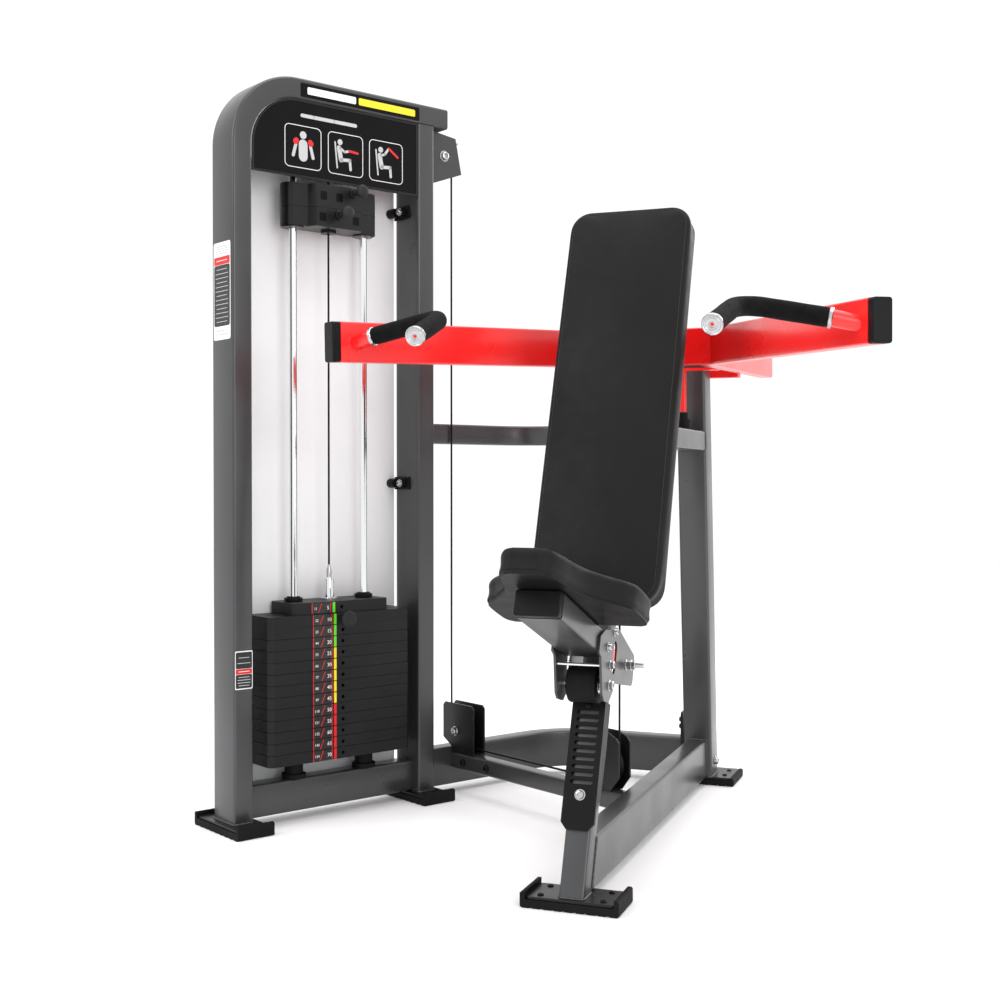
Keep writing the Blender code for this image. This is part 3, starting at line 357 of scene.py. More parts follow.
def section_bar(bm, path, half_w, half_h, up, radius, planes=(None, None)):
    """A box-section tube with rounded edges along a path. up is the section's height direction.
    planes cut its ends: (point, normal) each."""
    up = Vector(up).normalized()
    path = [Vector(p) for p in path]
    section = rounded(half_w, half_h, radius, 4)
    loops = []
    for i, p in enumerate(path):
        run_in = (p - path[i - 1]).normalized() if i else (path[1] - p).normalized()
        run_out = (path[i + 1] - p).normalized() if i < len(path) - 1 else run_in
        mean = (run_in + run_out).normalized()
        miter = mean.cross(up).normalized() / max(0.3, mean.dot(run_in))
        plane = planes[0] if i == 0 else planes[1] if i == len(path) - 1 else None
        loop = []
        for u, v in section:
            q = p + miter * u + up * v
            if plane:
                point, normal = Vector(plane[0]), Vector(plane[1])
                q = q + run_in * ((point - q).dot(normal) / run_in.dot(normal))
            loop.append(bm.verts.new(q))
        loops.append(loop)
    loft(bm, loops)
    bm.faces.new(loops[0])
    bm.faces.new(loops[-1])


def sweep(bm, points, radius, sides=12, closed=False):
    points = [Vector(p) for p in points]
    side = None
    loops = []
    count = len(points)
    for i, p in enumerate(points):
        if closed:
            run_in, run_out = (p - points[i - 1]).normalized(), (points[(i + 1) % count] - p).normalized()
        else:
            run_in = (p - points[i - 1]).normalized() if i else (points[1] - p).normalized()
            run_out = (points[i + 1] - p).normalized() if i < count - 1 else run_in
        along = (run_in + run_out).normalized()
        if side is None:
            side = along.orthogonal().normalized()
        side = (side - along * side.dot(along)).normalized()
        other = along.cross(side)
        turns = [2 * math.pi * k / sides for k in range(sides)]
        loops.append([bm.verts.new(p + (side * math.cos(a) + other * math.sin(a)) * radius) for a in turns])
    loft(bm, loops, closed)
    if not closed:
        bm.faces.new(loops[0])
        bm.faces.new(list(reversed(loops[-1])))


def bolt(bm, at, along, radius=0.009, height=0.007, washer=True):
    """A dome-head screw with a hex socket and a washer."""
    r, h = radius, height
    base = 0.0012 if washer else 0.0
    if washer:
        ring(bm, r * 1.28, r * 0.3, 0.0012, at, along, 24, 0.0003)
    profile = [(0, base), (r, base), (r, base + h * 0.45), (r * 0.9, base + h * 0.8), (r * 0.66, base + h),
               (r * 0.50, base + h), (r * 0.46, base + h * 0.45), (0, base + h * 0.45)]
    lathe(bm, profile, at, along, 24)


def nut(bm, at, along, radius=0.009, height=0.007):
    ring(bm, radius * 1.25, radius * 0.3, 0.0012, at, along, 24, 0.0003)
    up = Vector(along).normalized()
    start = Vector(at) + up * 0.0012
    lathe(bm, [(0, 0), (radius, 0), (radius, height * 0.85), (radius * 0.86, height), (radius * 0.45, height),
               (radius * 0.42, height * 0.7), (0, height * 0.7)], start, along, 6)


def fillet(before, corner, after, radius, steps=14):
    before, corner, after = Vector(before), Vector(corner), Vector(after)
    u, w = (before - corner).normalized(), (after - corner).normalized()
    half = u.angle(w) / 2
    reach = radius / math.tan(half)
    centre = corner + (u + w).normalized() * (radius / math.sin(half))
    a, b = corner + u * reach - centre, corner + w * reach - centre
    total = a.angle(b)
    points = []
    for i in range(steps + 1):
        t = i / steps
        points.append(centre + (a * math.sin((1 - t) * total) + b * math.sin(t * total)) / math.sin(total))
    return points


# ---- steel frame --------------------------------------------------------------------------------
def make_frame():
    """Box-section tubes with rounded edges, in place of the square-edged CAD tubes."""
    plate = 0.0217
    r = 0.006
    post_back = (POST @ Vector((0, 0.050, 0)), POST.to_3x3() @ Vector((0, 1, 0)))
    front_face = (UPRIGHT @ Vector((0, 0, 0)), UPRIGHT.to_3x3() @ Vector((0, 1, 0)))

    def tube(name, path, half_w, half_h, up, place=WORLD, planes=(None, None)):
        bm = bmesh.new()
        section_bar(bm, path, half_w, half_h, up, r, planes)
        piece(name, bm, FRAME, place, "frame", 40, replaces=(name.replace("_skin", ""),))

    near = (post_back[0] + post_back[1] * GAP, post_back[1])
    far = (front_face[0] - front_face[1] * GAP, front_face[1])
    tube("base_beam_skin", [(0, 0, 0.072), (0, 1.1, 0.072)], 0.025, 0.050, (0, 0, 1), planes=(near, far))
    tube("link_tube_skin", [(0, 0.3, 0.912), (0, 1.1, 0.912)], 0.0375, 0.025, (0, 0, 1), planes=(near, far))
    stand = ((0, 0, plate), (0, 0, 1))
    low = (POST.inverted() @ Vector(stand[0]), POST.inverted().to_3x3() @ Vector((0, 0, 1)))
    tube("front_post_skin", [(0, 0.025, 0), (0, 0.025, 1.22)], 0.025, 0.025, (0, 1, 0), POST, (low, None))
    low = (UPRIGHT.inverted() @ Vector(stand[0]), UPRIGHT.inverted().to_3x3() @ Vector((0, 0, 1)))
    tube("rear_upright_skin", [(0, 0.039, 0), (0, 0.039, 1.168)], 0.0375, 0.039, (0, 1, 0), UPRIGHT,
         (low, None))

    along = Vector((0.5, math.sqrt(3) / 2))
    depth = Vector((-along.y, along.x))
    for name, offset, y, bend, level, hw, hh in (
        ("base_side_tube", 0.0, 1.133, 0.195, 0.07125, 0.025, 0.04875),
        ("mid_side_tube", 0.029, 1.040, 0.160, 0.931, 0.023, 0.026),
    ):
        start = Vector((-0.7793, 0.4811)) + along * 0.2853 + depth * offset
        corner = start + along * ((y - start.y) / along.y)
        end = Vector((-0.0378, y))
        path = [Vector((*p, level)) for p in [start, *fillet(start, corner, end, bend), end]]
        tube(name + "_skin", path, hw, hh, (0, 0, 1))

    middle = 1.730
    corner = fillet((-0.26, 0), (-0.26, middle), (0, middle), 0.147, 18)
    path = [(p.x, 0.002, p.y) for p in [Vector((-0.26, plate)), *corner, Vector((0.3256, middle))]]
    tube("tower_hoop_skin", path, 0.025, 0.050, (0, 1, 0), TOWER)
    tube("tower_right_post_skin", [(0.26, 0.002, plate), (0.26, 0.002, 1.7047)], 0.025, 0.050, (0, 1, 0),
         TOWER)
    tube("tower_low_beam_skin", [(-0.2347, 0.005, 0.06125), (0.2347, 0.005, 0.06125)], 0.025, 0.03875,
         (0, 0, 1), TOWER)
    flank = (TOWER.inverted() @ Vector((-0.0253, 0, 0)), TOWER.inverted().to_3x3() @ Vector((1, 0, 0)))
    tube("cable_beam_skin", [(0.376, -0.0253, 0.0865), (0.376, -0.66, 0.0865)], 0.020, 0.0205, (0, 0, 1),
         TOWER, (None, flank))
    make_lugs()
    make_feet(plate)
    make_welds()


def make_lugs():
    """The header pulley's lugs and the rod clamps under the top beam, as in the hoop's CAD solid."""
    bm = bmesh.new()
    lug = [(0.014, 1.7046), (0.066, 1.7046), (0.056, 1.630), (0.050, 1.625), (0.030, 1.625), (0.024, 1.630)]
    for y in (-0.022, 0.018):
        prism(bm, lug, y, y + 0.004)
    for side in (-1, 1):
        box(bm, (side * ROD_T - 0.010, 0.0098, 1.625), (side * ROD_T + 0.010, 0.0160, 1.7046))
    piece("beam_lugs", bm, FRAME, TOWER, bevel=0.001)
    bm = bmesh.new()
    lathe(bm, [(0, -0.024), (0.009, -0.024), (0.009, -0.022), (0.005, -0.022), (0.005, 0.022), (0.009, 0.022),
               (0.009, 0.024), (0, 0.024)], (HEAD_T, 0, HIGH_Z), (0, 1, 0), 20)
    piece("header_axle", bm, ZINC, TOWER)


def make_feet(plate):
    """Steel foot plates with two screws each; the rubber boots keep their CAD shape."""
    t = TOWER
    for name, place, half, wide, holes in (
        ("front_foot_plate", WORLD, 0.0871, 0.0465, (-0.062, 0.062)),
        ("rear_foot_plate", Matrix.Translation((0, 1.1635, 0)), 0.0847, 0.0645, (-0.064, 0.064)),
        ("left_foot_plate", t @ Matrix.Translation((-0.26, 0, 0)) @ Matrix.Rotation(math.radians(90), 4, "Z"),
         0.0942, 0.043, (-0.076, 0.076)),
        ("right_foot_plate", t @ Matrix.Translation((0.26, 0, 0)) @ Matrix.Rotation(math.radians(90), 4, "Z"),
         0.0942, 0.043, (-0.076, 0.076)),
    ):
        bm = bmesh.new()
        prism(bm, rounded(half, wide, 0.006, 4), 0.0163, plate, "xy")
        piece(name, bm, DARK, place, bevel=0.0008)
        bm = bmesh.new()
        for x in holes:
            for y in ((-0.030, 0.030) if name.startswith(("front", "rear")) else (0.0,)):
                lathe(bm, [(0, 0.0), (0.0062, 0.0), (0.0062, 0.0016), (0.0050, 0.0026), (0.0030, 0.0026),
                           (0.0028, 0.0010), (0, 0.0010)], (x, y, plate), (0, 0, 1), 20)
        piece(name + "_screws", bm, BLACK, place)


def weld_bead(bm, points, radius=0.0026):
    """A weld: a rope of small ripples along a closed line."""
    rope = []
    for a, b in zip(points, points[1:] + points[:1]):
        a, b = Vector(a), Vector(b)
        count = max(1, int((b - a).length / 0.004))
        rope += [a.lerp(b, i / count) for i in range(count)]
    made = len(bm.verts)
    sweep(bm, rope, radius, 6, closed=True)
    bm.verts.ensure_lookup_table()
    for i, v in enumerate(list(bm.verts)[made:]):
        swell = 1.0 + 0.16 * math.sin((i // 6) * 1.9)
        centre = rope[i // 6]
        v.co = centre + (v.co - centre) * swell


BEAD_LEVEL = 0.0225   # height of the beads on the foot plates


def make_welds():
    """Beads where the posts stand on their plates and where tubes meet."""
    bm = bmesh.new()
    for t in (-0.26, 0.26):
        foot = rounded(0.025, 0.050, 0.006, 3, (t, 0.002))
        weld_bead(bm, [TOWER @ Vector((p[0], p[1], BEAD_LEVEL)) for p in foot])
    rise = math.tan(math.radians(20))
    y0 = -0.0446 + rise * 0.022
    for half, deep, start in ((0.025, 0.0266, y0), (0.0375, 0.0392, 1.0948)):
        foot = rounded(half, deep, 0.006, 3, (0, start + deep))
        weld_bead(bm, [Vector((p[0], p[1], BEAD_LEVEL)) for p in foot])
    for half, low, high in ((0.025, 0.024, 0.122), (0.0375, 0.887, 0.937)):
        back = lambda z: -0.0446 + 0.050 / math.cos(math.radians(20)) + rise * z + 0.0005
        front = lambda z: 1.0971 - math.tan(math.radians(5.9)) * z - 0.0005
        for edge in (back, front):
            section = rounded(half, (high - low) / 2, 0.006, 3, (0, (high + low) / 2))
            weld_bead(bm, [Vector((x, edge(z), z)) for x, z in section])
    for y, hw, hh, level in ((1.133, 0.025, 0.04875, 0.07125), (1.040, 0.023, 0.026, 0.931)):
        loop = [Vector((-0.0380, p[0], p[1])) for p in rounded(hw, hh, 0.006, 3, (y, level))]
        weld_bead(bm, loop)
    for y, hw, hh, level in ((0.0, 0.025, 0.04875, 0.07125), (0.029, 0.023, 0.026, 0.931)):
        loop = [TOWER @ Vector((0.2856, p[0], p[1])) for p in rounded(hw, hh, 0.006, 3, (y, level))]
        weld_bead(bm, loop)
    piece("weld_beads", bm, FRAME, smooth=80)


# ---- tower --------------------------------------------------------------------------------------
def make_header():
    """The dark panel in the tower's head, its rim, three framed pictograms and two blank name bars."""
    def shape(inset):
        wide, top, low, bend = 0.2345 - inset, 1.7045 - inset, 1.5215 + inset, 0.121 - inset
        corner = arc((-wide + bend, top - bend), bend, 90, 180, 14)
        return [(wide, low), (wide, top)] + corner + [(-wide, low)]
    bm = bmesh.new()
    prism(bm, shape(0.0), -0.0450, -0.0430)
    piece("header_face", bm, GLOSS, TOWER, bevel=0.0006, replaces=("header_panel",))
    bm = bmesh.new()
    hollow_prism(bm, shape(0.0), shape(0.0055), -0.0462, -0.0451)
    piece("header_rim", bm, DARK, TOWER, bevel=0.0003)

    lines, red, white = bmesh.new(), bmesh.new(), bmesh.new()
    front = -0.04515
    for centre in (-0.098, 0.0205, 0.1385):
        outer = rounded(0.050, 0.050, 0.012, 5, (centre, 1.594))
        inner = rounded(0.0484, 0.0484, 0.0104, 5, (centre, 1.594))
        hollow_prism(lines, outer, inner, front - 0.0006, front)
    for kind, centre in enumerate((-0.098, 0.0205, 0.1385)):
        pictogram(white, red, centre, 1.594, front, kind)
    for t, width in ((-0.086, 0.030), (-0.040, 0.052), (0.020, 0.058)):
        stroke(white, (t - width / 2, 1.6680), (t + width / 2, 1.6680), 0.0085, front)
    piece("header_lines", lines, WHITE, TOWER)
    piece("header_figures", white, PRINT_GREY, TOWER)
    piece("header_marks", red, PRINT_RED, TOWER)

    bm = bmesh.new()
    prism(bm, rounded(0.172, 0.0165, 0.003, 3, (0.066, 1.7275)), -0.0490, -0.0481)
    piece("beam_strip", bm, GLOSS, TOWER, bevel=0.0003)
    white, yellow = bmesh.new(), bmesh.new()
    prism(white, rounded(0.068, 0.0085, 0.003, 3, (-0.020, 1.7275)), -0.0494, -0.0491)
    prism(yellow, rounded(0.084, 0.0085, 0.003, 3, (0.140, 1.7275)), -0.0494, -0.0491)
    piece("beam_strip_white", white, WHITE, TOWER)
    piece("beam_strip_yellow", yellow, PRINT_YELLOW, TOWER)


def stroke(bm, a, b, width, front):
    """A rounded bar between two points of a pictogram."""
    a, b = Vector(a), Vector(b)
    angle = math.degrees(math.atan2((b - a).y, (b - a).x))
    outline = arc(a, width / 2, angle + 90, angle + 270, 6) + arc(b, width / 2, angle - 90, angle + 90, 6)
    prism(bm, outline, front - 0.0006, front)


def pictogram(white, red, x, z, front, kind):
    """Plain stick pictures: the muscles in use, the start and the end of the press."""
    if kind == 0:
        stroke(white, (x, z + 0.006), (x, z - 0.022), 0.024, front)
        stroke(white, (x - 0.020, z + 0.004), (x - 0.027, z - 0.022), 0.008, front)
        stroke(white, (x + 0.020, z + 0.004), (x + 0.027, z - 0.022), 0.008, front)
        prism(white, arc((x, z + 0.028), 0.009, 0, 345, 20), front - 0.0006, front)
        stroke(red, (x - 0.019, z + 0.013), (x - 0.021, z + 0.011), 0.014, front - 0.0007)
        stroke(red, (x + 0.019, z + 0.013), (x + 0.021, z + 0.011), 0.014, front - 0.0007)
        return
    prism(white, arc((x - 0.016, z + 0.028), 0.007, 0, 345, 20), front - 0.0006, front)
    stroke(white, (x - 0.019, z + 0.014), (x - 0.013, z - 0.014), 0.012, front)
    stroke(white, (x - 0.013, z - 0.014), (x + 0.012, z - 0.012), 0.008, front)
    stroke(white, (x + 0.012, z - 0.012), (x + 0.014, z - 0.034), 0.007, front)
    stroke(white, (x - 0.030, z + 0.026), (x - 0.024, z - 0.034), 0.004, front)
    hand = (x + 0.010, z + 0.010) if kind == 1 else (x + 0.008, z + 0.034)
    elbow = ((x - 0.016 + hand[0]) / 2, (z + 0.014 + hand[1]) / 2 - 0.006)
    stroke(white, (x - 0.016, z + 0.014), elbow, 0.006, front)
    stroke(white, elbow, hand, 0.006, front)
    far = (x + 0.034, z + 0.008) if kind == 1 else (x + 0.034, z + 0.016)
    stroke(red, hand, far, 0.006, front - 0.0007)


def make_guard():
    paint(("rear_guard",), SHEET)
    clips, screws = bmesh.new(), bmesh.new()
    for side in (-1, 1):
        for level in (0.803, 1.490):
            near, far = sorted((side * 0.2302, side * 0.2346))
            box(clips, (near, -0.012, level - 0.016), (far, 0.051, level + 0.016))
            face = side * 0.2302
            ring(clips, 0.0125, 0.004, 0.012, (face, 0.010, level), (-side, 0, 0), 24)
            bolt(screws, (face - side * 0.012, 0.010, level), (-side, 0, 0), 0.0075, 0.006)
            lathe(clips, [(0, 0), (0.011, 0), (0.012, 0.004), (0.012, 0.026), (0, 0.026)],
                  (side * 0.218, 0.026, level), (0, 1, 0), 20)
    piece("guard_clips", clips, BLACK, TOWER, bevel=0.0012)
    piece("guard_screws", screws, ZINC, TOWER)


def make_stack():
    """Plates, rods, bushes, numbered strip and the cable's end."""
    plates = ("weight_plate_01", "weight_plates_rest", "stack_top_plate")
    paint(plates, PLATE)
    edge_round(plates, 0.0009)
    bushes = bmesh.new()
    for side in (-1, 1):
        ring(bushes, 0.0220, 0.0100, 0.009, (side * ROD_T, 0, 0.5213), (0, 0, 1), 32)
        ring(bushes, 0.0165, 0.0100, 0.003, (side * ROD_T, 0, 0.5303), (0, 0, 1), 32)
    piece("rod_bushes", bushes, BLACK, TOWER, "weight_stack")
    bm = bmesh.new()
    sleeve = [(0, 0.5213), (0.0205, 0.5213), (0.0205, 0.5245), (0.0125, 0.527), (0.0125, 0.566),
              (0.0105, 0.572), (0.006, 0.5752), (0, 0.5752)]
    lathe(bm, sleeve, (0, 0, 0), (0, 0, 1), 32)
    piece("stem_sleeve", bm, CHROME, TOWER, "weight_stack")
    bm = bmesh.new()
    lathe(bm, [(0, 0.5753), (0.0062, 0.5753), (0.0062, 0.592), (0.0045, 0.598), (0.0026, 0.606), (0, 0.606)],
          (0, 0, 0), (0, 0, 1), 20)
    piece("cable_ferrule", bm, ZINC, TOWER, "weight_stack")
    paint(("guide_rod_left", "guide_rod_right"), ROD)
    paint(("selector_stem",), CHROME)
    paint(("stack_bumper_left", "stack_bumper_right", "stop_bumper"), RUBBER)
    make_strip()
    make_pin()
    make_addons()


def row_levels():
    """Middle of every row of the stack, from the top plate down."""
    return [0.5068] + [0.143 + (12 - i) * 0.0269 + 0.0133 for i in range(13)]


def row_front(row):
    return -0.0566 if row == 0 else -0.062


# the strip's two columns: step per row, place across the tower, drop below the row's middle, height
NUMBERS = ((5, -0.0390, 0.0045, 0.0125), (11, -0.0735, 0.004, 0.0090))


def make_strip():
    """A black strip with generic numbers, a red edge line, and a strip whose colour grows with the load."""
    groups = {"weight_stack": (0, 1), "frame": tuple(range(2, 14))}
    levels = row_levels()
    for body, rows in groups.items():
        back, edge = bmesh.new(), bmesh.new()
        colour = {"green": bmesh.new(), "yellow": bmesh.new(), "red": bmesh.new()}
        texts = []
        for row in rows:
            z, y = levels[row], row_front(row) - 0.0002
            half = 0.0124
            prism(back, rounded(0.0275, half, 0.001, 2, (-0.0575, z)), y - 0.0005, y)
            prism(edge, rounded(0.0010, half, 0.0005, 2, (-0.0835, z)), y - 0.0008, y - 0.0005)
            prism(edge, rounded(0.0010, half, 0.0005, 2, (-0.0315, z)), y - 0.0008, y - 0.0005)
            bow = -0.058 + 0.006 * math.sin(row / 13 * math.pi)
            stroke(edge, (bow - 0.008, z - 0.010), (bow + 0.001, z + 0.010), 0.0018, y - 0.0005)
            key = "green" if row < 4 else "yellow" if row < 9 else "red"
            prism(colour[key], rounded(0.0037, half, 0.001, 2, (-0.0225, z)), y - 0.0005, y)
            for step, t, drop, size in NUMBERS:
                texts.append(number(str(step * (row + 1)), TOWER @ Vector((t, y - 0.0007, z - drop)), size))
        piece("strip_back_" + body, back, PRINT_BLACK, TOWER, body)
        piece("strip_edge_" + body, edge, PRINT_RED, TOWER, body)
        for key, bm in colour.items():
            if bm.verts:
                colours = {"green": PRINT_GREEN, "yellow": PRINT_YELLOW, "red": PRINT_RED}
                piece("strip_" + key + "_" + body, bm, colours[key], TOWER, body)
            else:
                bm.free()
        merged = bmesh.new()
        for mesh in texts:
            merged.from_mesh(mesh)
            bpy.data.meshes.remove(mesh)
        piece("strip_numbers_" + body, merged, WHITE, WORLD, body)


def number(text, at, size):
    """The mesh of a number, standing on the tower's front."""
    curve = bpy.data.curves.new("number", "FONT")
    curve.body = text
    curve.size = size
    curve.align_x = "CENTER"
    curve.extrude = 0.0001
    curve.resolution_u = 3
    obj = bpy.data.objects.new("number", curve)
    bpy.context.scene.collection.objects.link(obj)
    upright = Matrix.Rotation(math.radians(60), 4, "Z") @ Matrix.Rotation(math.radians(90), 4, "X")
    obj.matrix_world = Matrix.Translation(at) @ upright
    bpy.context.view_layer.update()
    mesh = bpy.data.meshes.new_from_object(obj.evaluated_get(bpy.context.evaluated_depsgraph_get()))
    mesh.transform(obj.matrix_world)
    bpy.data.objects.remove(obj)
    bpy.data.curves.remove(curve)
    return mesh


def knob_profile(length, shaft, tip):
    """A mushroom knob from its crown to the end of its stem."""
    return [(0, 0), (0.007, 0.0001), (0.0115, 0.0008), (0.0145, 0.0028), (0.0160, 0.0056), (0.0160, 0.0095),
            (0.0148, 0.0120), (0.0105, 0.0145), (0.0085, 0.0165), (0.0080, 0.0240), (shaft, 0.0250),
            (shaft, length), (tip, length + 0.001), (0, length + 0.001)]


def make_pin():
    level = row_levels()[1]
    bm = bmesh.new()
    front = (0, -0.0950, level)
    profile = [(0, 0), (0.012, 0.0001), (0.0175, 0.0006), (0.0195, 0.0022), (0.0200, 0.0040),
               (0.0192, 0.0062), (0.0150, 0.0080), (0.0095, 0.0110), (0.0085, 0.0150), (0.0085, 0.0262),
               (0, 0.0262)]
    lathe(bm, profile, front, (0, 1, 0), 40)
    piece("pin_knob", bm, GREY, TOWER, "selector_pin", 50, replaces=("selector_pin",))
    bm = bmesh.new()
    shaft = [(0, 0.0263), (0.0036, 0.0263), (0.0036, 0.102), (0.002, 0.1048), (0, 0.1048)]
    lathe(bm, shaft, front, (0, 1, 0), 20)
    piece("pin_shaft", bm, ZINC, TOWER, "selector_pin")


def make_addons():
    paint(("addon_weight_low", "addon_weight_high"), DARK)
    edge_round(("addon_weight_low", "addon_weight_high"), 0.0018, angle=40)
    for low, (t, z) in ((True, (-0.001, 1.446)), (False, (0.040, 1.502))):
        body = "knob_low" if low else "knob_high"
        bm = bmesh.new()
        lathe(bm, knob_profile(0.0460, 0.0068, 0.006), (t, -0.0968, z), (0, 1, 0), 32)
        piece("addon_" + body, bm, GREY, TOWER, body, 50, replaces=("addon_" + body,))
    bm = bmesh.new()
    for t, z in ((-0.001, 1.437), (0.040, 1.488)):
        ring(bm, 0.0115, 0.0072, 0.006, (t, -0.0503, z + (0.009 if t < 0 else 0.014)), (0, -1, 0), 24)
    piece("addon_bosses", bm, DARK, TOWER, "addon_low")
    for label, low, high in (("low", 1.4140, 1.4595), ("high", 1.4602, 1.5145)):
        lugs, slots = bmesh.new(), bmesh.new()
        for side in (-1, 1):
            ring(lugs, 0.0275, 0.0100, 0.0030, (side * ROD_T, 0, low - 0.0030), (0, 0, 1), 8)
        if label == "low":
            ring(lugs, 0.0190, 0.0060, 0.0060, (0, 0, low - 0.0060), (0, 0, 1), 28)
        for t in (-0.047, 0.047) if label == "low" else (-0.044, 0.0):
            prism(slots, rounded(0.0085, 0.010, 0.002, 3, (t, (low + high) / 2)), -0.0506, -0.0502)
        piece("addon_lugs_" + label, lugs, DARK, TOWER, "addon_" + label)
        piece("addon_slots_" + label, slots, GLOSS, TOWER, "addon_" + label)


def sticker(name, centre, half_w, half_h, plane, bands):
    """A plain printed plate: fields of colour and grey rules, no lettering.

    bands lists (material, from, to, rules) down the plate, with from and to as parts of its height."""
    base = centre[0] if plane == "yz" else centre[1]
    u = centre[1] if plane == "yz" else centre[0]
    sheets = {}

    def sheet(mat, half_u, high, low, lift):
        bm = sheets.setdefault(mat.name, (mat, bmesh.new()))[1]
        half_z = (high - low) / 2
        outline = rounded(half_u, half_z, min(half_u, half_z) * 0.15, 3, (u, (high + low) / 2))
        prism(bm, outline, base - lift - 0.0002, base - lift, plane)

    top, height = centre[2] + half_h, 2 * half_h
    sheet(WHITE, half_w, top, top - height, 0.0002)
    for mat, start, end, rules in bands:
        high, low = top - height * start, top - height * end
        if mat is not WHITE:
            sheet(mat, half_w * 0.92, high, low, 0.0005)
        pitch = (high - low) / (rules + 1)
        for k in range(rules):
            at = high - pitch * (k + 1)
            rule = PRINT_GREY if mat is not PRINT_RED else WHITE
            sheet(rule, half_w * (0.74 if k % 3 else 0.62), at + 0.0007, at - 0.0007, 0.0008)
    for key, (mat, bm) in sheets.items():
        piece(name + "_" + key, bm, mat, TOWER)


def edge_round(names, width, segments=2, angle=30):
    for name in names:
        mod = NODES[name].modifiers.new("edges", "BEVEL")
        mod.width = width
        mod.segments = segments
        mod.limit_method = "ANGLE"
        mod.angle_limit = math.radians(angle)


def paint(names, mat):
    for name in names:
        mats = NODES[name].data.materials
        if len(mats):
            for i in range(len(mats)):
                mats[i] = mat
        else:
            mats.append(mat)


# ---- caps, bolts and small fittings ---------------------------------------------------------------
def end_cap(name, place, mid, half_w, half_h, axis, body="frame"):
    """A domed plastic plug on a tube's end. axis is the outward direction, x, y or z, with a sign."""
    bm = bmesh.new()
    index = "xyz".index(axis[-1])
    sign = -1 if axis[0] == "-" else 1
    u, v = [i for i in range(3) if i != index]
    steps = ((0.0, 0.0), (0.0012, 0.0), (0.0022, 0.0006), (0.0028, 0.0022))
    loops = []
    for height, inset in steps:
        loop = []
        for p in rounded(half_w - 0.0002 - inset, half_h - 0.0002 - inset, 0.006, 5):
            co = list(mid)
            co[index] += sign * (height + 0.0002)
            co[u] += p[0]
            co[v] += p[1]
            loop.append(bm.verts.new(co))
        loops.append(loop)
    loft(bm, loops)
    bm.faces.new(loops[0])
    bm.faces.new(loops[-1])
    piece(name, bm, BLACK, place, body, 50)


def make_caps():
    end_cap("hoop_end_cap", TOWER, (0.3256, 0.002, 1.730), 0.050, 0.025, "x")
    end_cap("front_post_cap", POST, (0, 0.025, 1.22), 0.025, 0.025, "z")
    end_cap("upright_cap", UPRIGHT, (0, 0.039, 1.168), 0.0375, 0.039, "z")
    for side in (-1, 1):
        name = "right" if side > 0 else "left"
        end_cap("arm_tail_cap_" + name, ARM, (side * 0.113, 0.456, 0), 0.020, 0.042, "y", "press_arm")


def make_hardware():
    """Screws and nuts, which hold the frame together and stand on its faces."""
    black, zinc = bmesh.new(), bmesh.new()
    def at(place, point, direction):
        return place @ Vector(point), place.to_3x3() @ Vector(direction)
    for side in (-1, 1):
        bolt(zinc, *at(TOWER, (TOP_T, side * 0.0222, HIGH_Z), (0, side, 0)), 0.011, 0.008)
    pip = [(0, 0), (0.0028, 0), (0.0028, 0.0012), (0, 0.0014)]
    lathe(zinc, pip, *at(TOWER, (0.378, -0.0222, 1.680), (0, -1, 0)), 12)
    for y in (NEAR_Y, FAR_Y):
        for t, side in ((0.3563, -1), (0.3957, 1)):
            nut(zinc, *at(TOWER, (t, y, LOW_Z), (side, 0, 0)), 0.0095, 0.007)
    for y in (-0.075, -0.170):
        bolt(black, *at(TOWER, (0.3558, y, 0.0865), (-1, 0, 0)), 0.008, 0.006)
        bolt(black, *at(TOWER, (0.3962, y, 0.0865), (1, 0, 0)), 0.008, 0.006)
    bolt(zinc, *at(POST, (0, -0.0082, 0.2165), (0, -1, 0)), 0.0085, 0.005)
    lathe(black, [(0, 0.006), (0.003, 0.0057), (0.0052, 0.004), (0.006, 0.001), (0.006, 0), (0, 0)],
          *at(POST, (0, -0.0082, 0.3890), (0, -1, 0)), 20)
    bolt(zinc, *at(UPRIGHT, (0.0377, 0.044, 0.055), (1, 0, 0)), 0.010, 0.008)
    for level in (0.150, 0.168):
        nut(black, (-0.0478, 1.113, level), (-1, 0, 0), 0.0065, 0.006)
    plate = bmesh.new()
    prism(plate, rounded(0.040, 0.084, 0.010, 5, (1.133, 0.1065)), -0.0477, -0.0379, "yz")
    piece("side_tube_flange", plate, DARK, bevel=0.0008)
    piece("frame_bolts", black, BLACK)
    piece("bright_bolts", zinc, ZINC)


# ---- cable and pulleys ----------------------------------------------------------------------------
CABLE_R = 0.0025
PULLEY_R = 0.040


